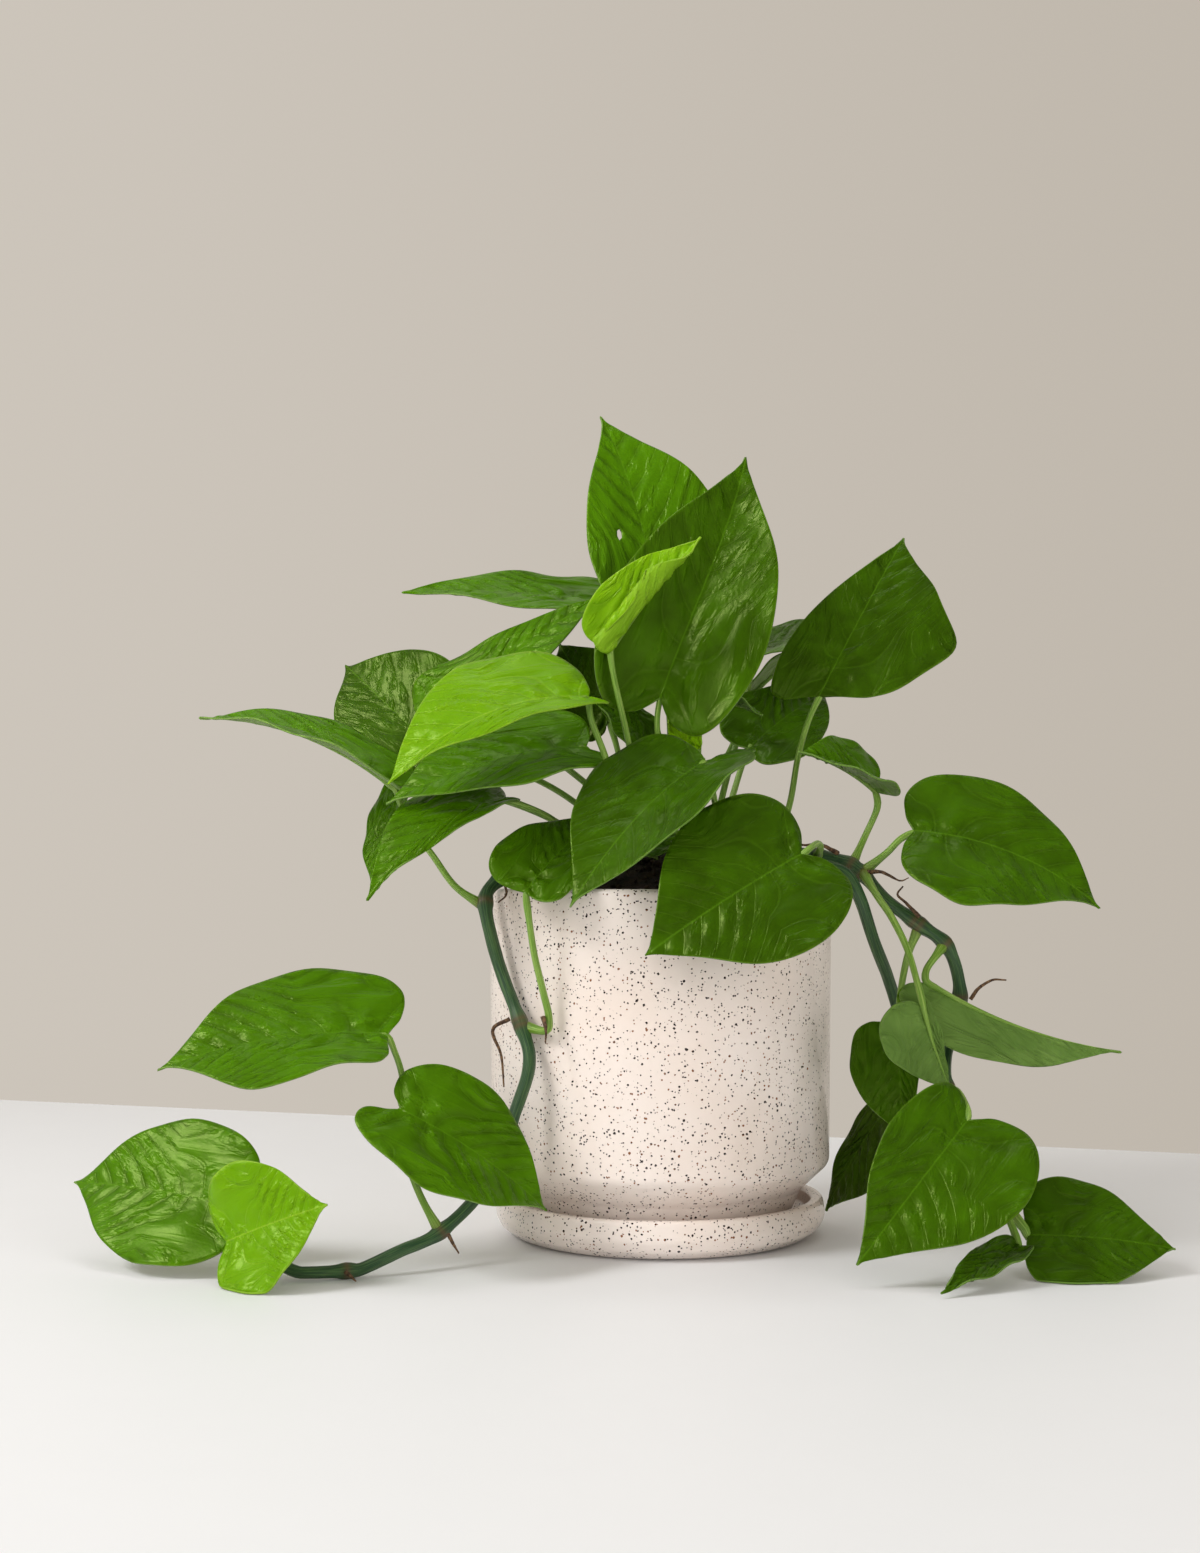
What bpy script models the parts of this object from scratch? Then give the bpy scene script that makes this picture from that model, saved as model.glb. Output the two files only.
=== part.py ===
"""Potted pothos: a glazed pot on its saucer, soil, leaves on stalks, trailing stems and aerial roots.

The origin is the middle of the saucer's underside, +Z is up and -Y is the front.
Sizes are in metres. Points of the plant are in millimetres, for the pot's design
radius and rim height, and at() moves them when either of those sizes changes.
"""

import math

import bmesh
import bpy
from mathutils import Matrix, Vector

MM = 0.001

# Pot
POT_RADIUS = 0.065
POT_RIM_HEIGHT = 0.131
POT_WALL = 0.0058
POT_FLOOR = 0.006
POT_TAPER = 0.0008
POT_CHAMFER_HEIGHT = 0.010
POT_CHAMFER_INSET = 0.0105
POT_FOOT_HEIGHT = 0.013
POT_SEAT_INSET = 0.0075
DRAIN_RADIUS = 0.006

# Saucer
SAUCER_GUTTER = 0.006
SAUCER_FLARE = 0.0105
SAUCER_HEIGHT = 0.0148
SAUCER_WALL = 0.0048
SAUCER_FLOOR = 0.0047
SAUCER_BULGE = 0.0010

# Soil
SOIL_DEPTH_AT_WALL = 0.006
SOIL_MOUND = 0.0185

# Plant
LEAF_THICKNESS = 0.0008
STALK_RADIUS = 0.0014
STALK_TOP_SHARE = 0.8
STEM_RADIUS = 0.0024
STEM_TIP_SHARE = 0.85
ROOT_RADIUS = 0.0008
ROOT_TIP_SHARE = 0.6

# Clearances between touching pieces
SEAT_GAP = 0.0003
SOIL_GAP = 0.0003
JOIN_GAP = 0.0004
STALK_FOOT_GAP = 0.0009

# The pot that the plant's points were chosen for
DESIGN_RADIUS = 0.065
DESIGN_RIM_HEIGHT = 0.131

TURN_STEPS = 40
BLADE_ROWS = 7
BLADE_COLUMNS = 4
ROUTE_SPACING = 0.008

# Half of a heart-shaped blade: along the midrib and across it, for a blade 1 long and 1 wide.
BLADE_EDGE = (
    (0.0, 0.0),
    (-0.09, 0.13),
    (-0.08, 0.31),
    (0.08, 0.45),
    (0.34, 0.50),
    (0.61, 0.38),
    (0.84, 0.14),
    (1.0, 0.0),
)


def at(x, y, z):
    """A design point in metres. Above the rim it keeps its height over it, and below the rim its share of it."""
    across = MM * POT_RADIUS / DESIGN_RADIUS
    height = z * MM
    if height > DESIGN_RIM_HEIGHT:
        height += POT_RIM_HEIGHT - DESIGN_RIM_HEIGHT
    else:
        height *= POT_RIM_HEIGHT / DESIGN_RIM_HEIGHT
    return Vector((x * across, y * across, height))


def clear_scene():
    for old in list(bpy.data.objects):
        bpy.data.objects.remove(old, do_unlink=True)


def new_collection(name):
    collection = bpy.data.collections.new(name)
    bpy.context.scene.collection.children.link(collection)
    return collection


def new_material(name, colour, roughness):
    material = bpy.data.materials.new(name)
    material.use_nodes = True
    shader = material.node_tree.nodes["Principled BSDF"]
    shader.inputs["Base Color"].default_value = (*colour, 1.0)
    shader.inputs["Roughness"].default_value = roughness
    shader.inputs["Metallic"].default_value = 0.0
    material.diffuse_color = (*colour, 1.0)
    return material


def link(name, data, material, collection):
    obj = bpy.data.objects.new(name, data)
    data.materials.append(material)
    collection.objects.link(obj)
    return obj


# ---- turned pieces


def arc(centre_r, centre_z, radius, start, end, steps):
    """Points of a profile's round corner, its angles in degrees from +R towards +Z."""
    angles = [math.radians(start + (end - start) * i / steps) for i in range(steps + 1)]
    return [(centre_r + radius * math.cos(a), centre_z + radius * math.sin(a)) for a in angles]


def turned(name, profile, closed, material, collection):
    """A profile of (radius, height) points, turned about Z."""
    bm = bmesh.new()
    ring = [bm.verts.new((radius, 0.0, height)) for radius, height in profile]
    for first, second in zip(ring, ring[1:]):
        bm.edges.new((first, second))
    if closed:
        bm.edges.new((ring[-1], ring[0]))
    mesh = bpy.data.meshes.new(name)
    bm.to_mesh(mesh)
    bm.free()
    obj = link(name, mesh, material, collection)
    screw = obj.modifiers.new("Turn", "SCREW")
    screw.steps = TURN_STEPS
    screw.render_steps = TURN_STEPS
    screw.use_merge_vertices = True
    screw.merge_threshold = 1e-5
    screw.use_smooth_shade = True
    return obj


def pot_foot_z():
    return SAUCER_FLOOR + SEAT_GAP


def pot_foot_radius():
    """At the chamfer's lower edge, from which the foot draws in to the flat that it stands on."""
    return POT_RADIUS - POT_TAPER - POT_CHAMFER_INSET


def saucer_floor_radius():
    """The flat floor reaches past the pot's seat by the gutter."""
    return pot_foot_radius() - POT_SEAT_INSET + SAUCER_GUTTER


def pot_profile():
    """Down the outside from the rim, across the foot to the drain hole, and up the inside."""
    rim = POT_WALL / 2
    foot_z = pot_foot_z()
    chamfer_z = foot_z + POT_FOOT_HEIGHT
    low_radius = POT_RADIUS - POT_TAPER
    foot_radius = pot_foot_radius()
    inner_foot = foot_radius - POT_WALL * 0.5
    profile = arc(POT_RADIUS - rim, POT_RIM_HEIGHT - rim, rim, 90, 0, 4)
    profile += [
        (low_radius, chamfer_z + POT_CHAMFER_HEIGHT),
        (foot_radius, chamfer_z),
        (foot_radius - POT_SEAT_INSET * 0.6, foot_z + 0.003),
        (foot_radius - POT_SEAT_INSET, foot_z),
        (DRAIN_RADIUS, foot_z),
        (DRAIN_RADIUS, foot_z + POT_FLOOR),
        (inner_foot - 0.0060, foot_z + POT_FLOOR),
        (inner_foot - 0.0010, chamfer_z + 0.002),
        (low_radius - POT_WALL, chamfer_z + POT_CHAMFER_HEIGHT + 0.002),
    ]
    return profile + arc(POT_RADIUS - rim, POT_RIM_HEIGHT - rim, rim, 180, 112, 3)


def saucer_profile():
    """From the middle of the floor out and up the inside, over the lip and down the bulging outside."""
    lip = SAUCER_WALL / 2
    floor_r = saucer_floor_radius()
    widest = floor_r + SAUCER_FLARE
    lip_r = widest - SAUCER_BULGE - lip
    profile = [
        (0.0, SAUCER_FLOOR),
        (floor_r, SAUCER_FLOOR),
        (lip_r - lip - 0.0004, SAUCER_FLOOR + 0.0045),
    ]
    profile += arc(lip_r, SAUCER_HEIGHT - lip, lip, 180, 0, 6)
    profile += [
        (widest, SAUCER_HEIGHT * 0.52),
        (widest - 0.0022, SAUCER_HEIGHT * 0.25),
        (floor_r + 0.0040, 0.0009),
        (floor_r + 0.0010, 0.0),
        (0.0, 0.0),
    ]
    return profile


def soil_radius():
    return POT_RADIUS - POT_WALL - SOIL_GAP


def soil_z(x, y):
    """Height of the mounded surface at a place."""
    share = min(1.0, math.hypot(x, y) / soil_radius())
    return POT_RIM_HEIGHT - SOIL_DEPTH_AT_WALL + SOIL_MOUND * (1 - share * share)


def soil_profile():
    foot_z = pot_foot_z()
    chamfer_z = foot_z + POT_FOOT_HEIGHT
    low_radius = POT_RADIUS - POT_TAPER - POT_WALL - SOIL_GAP
    inner_foot = pot_foot_radius() - POT_WALL * 0.5 - SOIL_GAP
    edge = soil_radius()
    profile = [(edge * i / 5, soil_z(edge * i / 5, 0.0)) for i in range(6)]
    profile[-1] = (edge - 0.0004, profile[-1][1])
    profile += [
        (low_radius - 0.0002, chamfer_z + POT_CHAMFER_HEIGHT + 0.004),
        (inner_foot - 0.0022, chamfer_z + 0.004),
        (inner_foot - 0.0070, foot_z + POT_FLOOR + SOIL_GAP),
        (0.0, foot_z + POT_FLOOR + SOIL_GAP),
    ]
    return profile


# ---- stems, stalks and roots


def smooth_route(points, spacing):
    """Points about this far apart on a smooth curve through the given ones."""
    ends = [points[0] * 2 - points[1], *points, points[-1] * 2 - points[-2]]
    route = [points[0]]
    for before, start, end, after in zip(ends, ends[1:], ends[2:], ends[3:]):
        steps = max(1, round((end - start).length / spacing))
        for i in range(1, steps + 1):
            t = i / steps
            route.append(
                0.5
                * (
                    2 * start
                    + (end - before) * t
                    + (2 * before - 5 * start + 4 * end - after) * t**2
                    + (3 * start - before - 3 * end + after) * t**3
                )
            )
    return route


def shortened(route, amount):
    """The route without the last stretch of this length."""
    route = list(route)
    while amount > 0 and len(route) > 2:
        last = (route[-1] - route[-2]).length
        if last > amount * 1.1:
            route[-1] = route[-1] + (route[-2] - route[-1]) * (amount / last)
            break
        route.pop()
        amount -= last
    return route


def tube(name, route, radii, sides, material, collection):
    """A round curve with closed ends, as thick as radii say from its first point to its last."""
    curve = bpy.data.curves.new(name, "CURVE")
    curve.dimensions = "3D"
    curve.bevel_depth = 1.0
    curve.bevel_resolution = sides
    curve.use_fill_caps = True
    spline = curve.splines.new("POLY")
    spline.points.add(len(route) - 1)
    for i, (point, place) in enumerate(zip(spline.points, route)):
        point.co = (*place, 1.0)
        point.radius = radii[0] + (radii[1] - radii[0]) * i / (len(route) - 1)
    return link(name, curve, material, collection)


def meshed(obj):
    """A mesh object with closed caps, in the place of a curve object."""
    graph = bpy.context.evaluated_depsgraph_get()
    mesh = bpy.data.meshes.new_from_object(obj.evaluated_get(graph))
    bm = bmesh.new()
    bm.from_mesh(mesh)
    bmesh.ops.remove_doubles(bm, verts=bm.verts, dist=1e-6)
    bm.to_mesh(mesh)
    bm.free()
    name, place, collection = obj.name, obj.matrix_world.copy(), obj.users_collection[0]
    bpy.data.objects.remove(obj, do_unlink=True)
    copy = bpy.data.objects.new(name, mesh)
    copy.matrix_world = place
    collection.objects.link(copy)
    return copy


def lifted(route, radius):
    """The route with nothing of its tube below the surface that the saucer stands on."""
    return [Vector((p.x, p.y, max(p.z, radius + SEAT_GAP))) for p in route]


def add_stem(name, points, material, collection):
    """A trailing stem from the soil, whose first point is its place there."""
    points = [at(*p) for p in points]
    first = points[0]
    points[0] = Vector((first.x, first.y, soil_z(first.x, first.y) + STEM_RADIUS * 1.2))
    route = lifted(smooth_route(points, ROUTE_SPACING), STEM_RADIUS)
    return tube(name, route, (STEM_RADIUS, STEM_RADIUS * STEM_TIP_SHARE), 2, material, collection)


def add_root(name, points, material, collection):
    route = lifted(smooth_route([at(*p) for p in points], ROUTE_SPACING / 2), ROOT_RADIUS)
    return tube(name, route, (ROOT_RADIUS, ROOT_RADIUS * ROOT_TIP_SHARE), 1, material, collection)


# ---- leaves


def blade_frame(base, tip, faces):
    """Base, length and axes: along the midrib, across it, and out of the upper face."""
    along = tip - base
    length = along.length
    along.normalize()
    faces = Vector(faces)
    out = (faces - along * faces.dot(along)).normalized()
    return base, length, along, out.cross(along), out


def arc_place(length, angle, share, off):
    """A point this far off an arc, at this share of its way. Its ends lie on the first axis, length apart."""
    if abs(angle) < 1e-4:
        return share * length, off
    radius = length / (2 * math.sin(angle / 2))
    turn = (share - 0.5) * angle
    return (
        (radius + off) * math.sin(turn) + length / 2,
        (radius + off) * math.cos(turn) - radius * math.cos(angle / 2),
    )


def blade_point(frame, form, u, v):
    """Where a point of the flat blade lies: u from base to tip, v from -0.5 to 0.5 across."""
    base, length, along, across, out = frame
    width = form["width"]
    reach = v * width * (form["left"] if v > 0 else form["right"])
    side = reach * math.cos(form["fold"])
    rise = abs(reach) * math.sin(form["fold"]) + form["cup"] * (2 * v) ** 2 * width
    rise += form["wave"] * (2 * v) ** 2 * width * math.sin(6.5 * u + (0.8 if v > 0 else 2.6))
    turn = form["twist"] * (u - 0.3)
    side, rise = (
        side * math.cos(turn) - rise * math.sin(turn),
        side * math.sin(turn) + rise * math.cos(turn),
    )
    u += 2 * v * form["lean"] + 2 * abs(v) * form["belly"]
    x, y = arc_place(length, form["hook"], u, side)
    x, z = arc_place(length, form["bend"], x / length, rise)
    return base + along * x + across * y + out * z


def blade(name, frame, form, material, collection):
    bm = bmesh.new()
    bmesh.ops.create_grid(bm, x_segments=BLADE_ROWS, y_segments=BLADE_COLUMNS, size=0.5)
    lowest = LEAF_THICKNESS / 2 + SEAT_GAP
    for vert in bm.verts:
        row = round((vert.co.x + 0.5) * BLADE_ROWS)
        column = vert.co.y * 2
        edge_u, edge_v = BLADE_EDGE[row]
        edge_u = edge_u * form["lobe"] if edge_u < 0 else edge_u
        midrib_u = row / BLADE_ROWS
        u = midrib_u + (edge_u - midrib_u) * abs(column)
        v = edge_v * column
        place = blade_point(frame, form, u, v)
        vert.co = (place.x, place.y, max(place.z, lowest))
    bmesh.ops.remove_doubles(bm, verts=bm.verts, dist=1e-6)
    mesh = bpy.data.meshes.new(name)
    bm.to_mesh(mesh)
    bm.free()
    mesh.shade_smooth()
    obj = link(name, mesh, material, collection)
    solidify = obj.modifiers.new("Thickness", "SOLIDIFY")
    solidify.thickness = LEAF_THICKNESS
    solidify.offset = 0.0
    return obj


def add_leaf(name, base, tip, faces, width, stalk, materials, collections, **bends):
    """A blade from base to tip, joined to its stalk.

    The stalk's points run from the blade down to the middle of the stem that carries it, and it
    stops clear of that stem. A stalk whose last point has no height goes down to the soil.
    bends may give fold, bend, twist and hook (the midrib's curve to the left) in degrees, cup and
    wave as shares of the width, lean and belly (how far the left half or both halves are set
    towards the tip) as shares of the length, and lobe, left and right as shares of their usual size.
    """
    parts, cutters = collections
    form = {
        "width": width * MM,
        "fold": math.radians(bends.get("fold", 12)),
        "bend": math.radians(bends.get("bend", 25)),
        "twist": math.radians(bends.get("twist", 0)),
        "cup": bends.get("cup", -0.03),
        "wave": bends.get("wave", 0.02),
        "hook": math.radians(bends.get("hook", 0)),
        "lean": bends.get("lean", 0.0),
        "belly": bends.get("belly", 0.0),
        "lobe": bends.get("lobe", 1.0),
        "left": bends.get("left", 1.0),
        "right": bends.get("right", 1.0),
    }
    frame = blade_frame(at(*base), at(*tip), faces)
    obj = blade(name, frame, form, materials[bends.get("tint", "leaf")], parts)

    out = frame[4]
    under = LEAF_THICKNESS * 0.9
    points = [blade_point(frame, form, 0.10, 0.0) - out * under]
    points.append(blade_point(frame, form, 0.0, 0.0) - out * under * 1.3)
    points += [at(*p) for p in stalk if len(p) == 3]
    foot = stalk[-1]
    if len(foot) == 2:
        place = at(*foot, 0.0)
        points.append(Vector((place.x, place.y, soil_z(place.x, place.y) + STALK_FOOT_GAP)))
        route = smooth_route(points, ROUTE_SPACING)
    else:
        stop = bends.get("stop", 1.0) * (STEM_RADIUS + JOIN_GAP)
        route = shortened(smooth_route(points, ROUTE_SPACING), stop)
    route = lifted(route, STALK_RADIUS)
    radii = (STALK_RADIUS * STALK_TOP_SHARE, STALK_RADIUS)
    cutter = meshed(tube(name.replace("leaf", "stalk"), route, radii, 1, materials["stalk"], cutters))
    cutter.hide_render = True
    cutter.display_type = "WIRE"
    join = obj.modifiers.new("Stalk", "BOOLEAN")
    join.operation = "UNION"
    join.solver = "EXACT"
    join.object = cutter
    return obj


def add_leaves(materials, collections):
    def leaf(name, base, tip, faces, width, stalk, **bends):
        add_leaf(name, base, tip, faces, width, stalk, materials, collections, **bends)

    # Crown, from the back to the front. Each stalk goes down into the soil.
    leaf("leaf_top_back", (2, 12, 234), (-23, 30, 319), (0.25, -0.95, 0.15), 60,
         [(4, 9, 195), (5, 9, 160), (5, 10)], fold=14, bend=22, left=0.85, right=1.15)
    leaf("leaf_left_high", (-21, 30, 245), (-100, 10, 246), (0.0, -0.5, 0.86), 44,
         [(-14, 26, 223), (-6, 18, 185), (-5, 16)], fold=10, bend=12, belly=-0.12, lobe=0.4)
    leaf("leaf_back_right_high", (38, 32, 224), (80, 46, 240), (0.0, -0.25, 0.95), 40,
         [(34, 27, 200), (24, 20, 162), (21, 17)], fold=12, bend=20)
    leaf("leaf_back_right_mid", (38, 42, 210), (76, 60, 234), (0.2, 0.35, 0.9), 34,
         [(31, 36, 190), (15, 26, 158), (12, 23)], fold=15, bend=25)
    leaf("leaf_right_back", (34, 6, 185), (69, 44, 211), (0.1, -0.8, 0.6), 38,
         [(29, 3, 170), (25, 2, 155), (24, 2)], fold=12, bend=20, lobe=0.6)
    leaf("leaf_left_back", (-79, -3, 200), (-22, 0, 243), (-0.3, -0.75, 0.6), 44,
         [(-66, 0, 197), (-42, 4, 182), (-17, 7, 160), (-12, 7)], fold=10, bend=20, belly=-0.12, left=0.75)
    leaf("leaf_left_round", (-86, 6, 183), (-126, 39, 221), (-0.2, -0.9, 0.4), 60,
         [(-71, 8, 180), (-45, 13, 172), (-24, 12, 156), (-20, 12)],
         fold=10, bend=20, belly=0.08, left=0.85, lobe=0.5)
    leaf("leaf_left_narrow", (-98, -12, 169), (-107, -24, 129), (-0.6, -0.6, 0.4), 22,
         [(-90, -9, 170), (-64, -2, 166), (-36, 2, 154), (-27, 2)], fold=12, bend=20)
    leaf("leaf_core_dark", (-20, -5, 195), (-39, 10, 226), (-0.5, -0.6, 0.6), 34,
         [(-16, -5, 182), (-12, -3, 160), (-12, -2)], fold=12, bend=25)
    leaf("leaf_core_grey", (17, -2, 203), (38, -12, 196), (-0.1, 0.2, 0.97), 22,
         [(15, 0, 190), (14, 1, 162), (14, 1)], fold=18, bend=30)
    leaf("leaf_core_low", (-4, -12, 184), (-24, -20, 200), (-0.3, -0.6, 0.7), 24,
         [(-2, -9, 172), (-2, -6, 156), (-2, -5)], fold=15, bend=25)
    leaf("leaf_core_lime", (11, -15, 184), (2, -19, 201), (-0.1, -0.95, 0.3), 12,
         [(11, -12, 170), (10, -9, 156), (10, -8)], fold=25, bend=20, tint="lime")
    leaf("leaf_right_high", (59, -15, 203), (94, 5, 266), (-0.1, -0.97, 0.15), 50,
         [(55, -15, 194), (51, -15, 180), (48, -15, 163), (43, -13, 146), (40, -12)],
         fold=12, bend=22, left=0.8, right=1.15, lobe=0.0, lean=-0.16)
    leaf("leaf_top_front", (-1, -28, 201), (32, -10, 294), (0.1, -0.95, 0.35), 67,
         [(-2, -27, 190), (1, -22, 172), (5, -15, 154), (5, -14)], fold=28, bend=16, belly=-0.04, lobe=0.8)
    leaf("leaf_young_rolled", (-20, -42, 217), (13, -50, 256), (-0.45, -0.75, 0.5), 34,
         [(-18, -41, 207), (-14, -36, 190), (-9, -27, 168), (-4, -17, 152), (-3, -15)],
         fold=40, bend=12, lobe=0.2, tint="lime")
    leaf("leaf_lime", (-27, -49, 199), (-96, -72, 167), (-0.15, -0.62, 0.77), 52,
         [(-26, -48, 191), (-21, -45, 178), (-15, -34, 160), (-11, -22, 148), (-10, -20)],
         fold=14, bend=60, left=0.5, right=1.15, lobe=0.5, tint="lime")
    leaf("leaf_under_lime", (-28, -30, 183), (-99, -50, 161), (0.0, -0.62, 0.78), 50,
         [(-24, -28, 175), (-20, -24, 160), (-18, -21, 148), (-18, -20)],
         fold=12, bend=34, left=0.85, lobe=0.5)
    leaf("leaf_left_droop", (-57, -36, 164), (-104, -66, 127), (-0.35, -0.75, 0.55), 40,
         [(-50, -34, 161), (-40, -31, 156), (-31, -26, 147), (-27, -22)],
         fold=12, bend=55, left=0.35, right=1.0, lobe=0.5)
    leaf("leaf_front_left", (15, -42, 177), (-33, -88, 125), (-0.25, -0.75, 0.6), 55,
         [(17, -38, 170), (20, -31, 158), (24, -22, 148), (25, -20)], fold=14, bend=36, lobe=0.4)
    leaf("leaf_soil", (16, -21, 148), (-19, -46, 140), (-0.2, -0.5, 0.85), 16,
         [(18, -18, 146), (19, -15)], fold=14, bend=20)

    # Over the rim and on the trailing stems. Each stalk stops at its stem.
    leaf("leaf_left_far", (-97, -30, 168), (-171, -25, 194), (-0.2, -0.17, 0.96), 46,
         [(-96, -30, 162), (-92, -30, 154), (-84, -30, 143), (-76, -30, 132), (-66, -29, 125)],
         fold=18, bend=40, lobe=0.3)
    leaf("leaf_rim_left", (-49, -62, 130), (-23, -36, 157), (-0.3, -0.85, 0.4), 40,
         [(-48, -61, 122), (-46, -59, 108), (-43, -57, 95), (-41, -56, 86), (-42, -54, 81), (-50, -47, 82)],
         fold=12, bend=25, right=0.8, lobe=0.3, stop=1.4)
    leaf("leaf_front_right", (46, -72, 143), (-8, -92, 109), (-0.2, -0.95, 0.25), 64,
         [(49, -70, 145), (53, -58, 147), (56, -44, 146), (57, -26, 143)], fold=10, bend=24)
    leaf("leaf_right_small", (80, -20, 168), (48, -44, 180), (0.1, -0.6, 0.78), 32,
         [(80, -20, 161), (75, -22, 150), (69, -29, 139)], fold=34, bend=20, lobe=0.3)
    leaf("leaf_right_wide", (91, -35, 152), (156, -45, 124), (0.15, -0.8, 0.58), 58,
         [(86, -36, 149), (81, -36, 144), (73, -31, 137)],
         fold=12, bend=30, hook=26, left=0.95, right=1.15, lobe=0.5)
    leaf("leaf_right_out", (93, -46, 97), (163, -48, 73), (0.0, -0.05, -0.97), 37,
         [(94, -44, 102), (98, -41, 107), (102, -36, 111)], fold=72, bend=25, lobe=0.8)
    leaf("leaf_right_down", (90, -56, 90), (100, -60, 60), (-0.4, 0.85, -0.3), 38,
         [(89, -54, 98), (86, -50, 110), (81, -47, 121), (77, -42, 128), (73, -32, 137)],
         fold=12, bend=18, right=0.25, stop=1.6)
    leaf("leaf_right_mid", (87, -26, 81), (88, -38, 39), (-0.5, -0.85, 0.2), 38,
         [(87, -28, 90), (89, -33, 106), (93, -36, 118)], fold=12, bend=24, left=0.4, lobe=0.3)
    leaf("leaf_right_low", (89, 3, 49), (66, 20, 4), (-0.6, -0.75, 0.3), 34,
         [(90, 2, 53), (90, -2, 62)], fold=12, bend=24, left=1.1, right=0.5, lobe=0.4)
    leaf("leaf_right_heart", (102, -76, 52), (61, -101, 8), (0.1, -0.85, 0.5), 52,
         [(103, -73, 55), (102, -62, 60), (101, -48, 60)],
         fold=14, bend=26, belly=-0.04, left=1.25, right=0.78, stop=1.3)
    leaf("leaf_table_right", (123, -76, 13), (172, -80, 9), (0.15, -0.75, 0.65), 44,
         [(122, -75, 15), (118, -72, 20)], fold=10, bend=22, lobe=0.2, stop=1.2)
    leaf("leaf_table_small", (118, -86, 11), (86, -115, 2), (0.2, -0.3, 0.93), 15,
         [(117, -82, 15), (115, -76, 22), (114, -66, 31)], fold=26, bend=8, lobe=0.4, stop=2.3)
    leaf("leaf_trail_upper", (-96, -70, 81), (-172, -84, 70), (-0.1, -0.62, 0.78), 52,
         [(-94, -70, 76), (-91, -71, 67), (-90, -71, 54), (-90, -71, 41), (-85, -70, 26), (-78, -70, 13)],
         fold=12, bend=20, hook=-18, left=1.0, right=1.2, lobe=0.6)
    leaf("leaf_trail_front", (-90, -85, 57), (-41, -80, 22), (0.3, -0.75, 0.6), 47,
         [(-87, -81, 54), (-76, -72, 50), (-64, -64, 47), (-54, -57, 46)], fold=12, bend=34, stop=1.7)
    leaf("leaf_table_left", (-150, -73, 23), (-211, -45, 26), (-0.25, -0.8, 0.55), 56,
         [(-147, -76, 20), (-138, -84, 10)], fold=10, bend=24)
    leaf("leaf_table_cupped", (-147, -92, 14), (-112, -102, 28), (-0.1, -0.9, 0.4), 46,
         [(-145, -91, 11), (-135, -85, 8)], fold=8, bend=20, cup=0.05, tint="lime", stop=1.6)


def add_stems(material, collection):
    add_stem("stem_left", [
        (-33, -10, 0), (-44, -15, 139), (-54, -19, 138), (-61, -23, 134), (-65, -30, 126), (-60, -38, 105),
        (-51, -48, 82), (-48, -53, 70), (-52, -56, 55), (-63, -62, 28), (-78, -70, 13), (-91, -78, 8),
        (-107, -84, 2), (-120, -87, 2), (-130, -86, 5), (-138, -84, 10),
    ], material, collection)
    add_stem("stem_right_front", [
        (32, -19, 0), (44, -23, 143), (56, -26, 143), (70, -30, 139), (81, -34, 127), (93, -36, 118),
        (103, -36, 110), (108, -33, 96), (107, -34, 83), (102, -39, 71), (101, -48, 60), (107, -57, 46),
        (115, -66, 30), (118, -72, 20),
    ], material, collection)
    add_stem("stem_right_back", [
        (42, -29, 0), (50, -33, 138), (58, -37, 139), (66, -39, 136), (71, -40, 127), (77, -32, 112),
        (84, -20, 98), (89, -12, 84), (91, -6, 70), (90, -2, 62),
    ], material, collection)


def add_roots(material, collection):
    add_root("root_left_loop", [
        (-57, -28, 137), (-58, -33, 134), (-57, -36, 129), (-60, -36, 126),
    ], material, collection)
    add_root("root_left_long", [
        (-55, -51, 85), (-61, -51, 81), (-58, -52, 72), (-57, -53, 61),
    ], material, collection)
    add_root("root_left_low", [(-75, -74, 13), (-73, -76, 10), (-71, -77, 7)], material, collection)
    add_root("root_left_end", [(-108, -88, 3), (-106, -90, 2), (-104, -93, 1)], material, collection)
    add_root("root_right_hook", [
        (92, -41, 121), (87, -42, 126), (84, -42, 129), (86, -42, 132),
    ], material, collection)
    add_root("root_right_low", [
        (111, -38, 91), (114, -38, 95), (119, -38, 98), (124, -38, 98),
    ], material, collection)


def main():
    clear_scene()
    parts = new_collection("potted_pothos")
    cutters = new_collection("cutters")
    glaze = new_material("blush_glaze", (0.84, 0.74, 0.66), 0.2)
    earth = new_material("dark_soil", (0.025, 0.014, 0.008), 0.95)
    stem = new_material("stem_green", (0.07, 0.14, 0.05), 0.45)
    root = new_material("root_brown", (0.12, 0.07, 0.035), 0.8)
    greens = {
        "leaf": new_material("leaf_green", (0.06, 0.19, 0.015), 0.35),
        "lime": new_material("leaf_lime", (0.22, 0.42, 0.02), 0.35),
        "stalk": new_material("stalk_green", (0.14, 0.28, 0.03), 0.45),
    }
    turned("saucer", saucer_profile(), False, glaze, parts)
    turned("pot", pot_profile(), True, glaze, parts)
    turned("soil", soil_profile(), False, earth, parts)
    add_stems(stem, parts)
    add_roots(root, parts)
    add_leaves(greens, (parts, cutters))


main()
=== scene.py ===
import math
import random

import bmesh
import bpy
from mathutils import Matrix, Vector, noise


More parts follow.
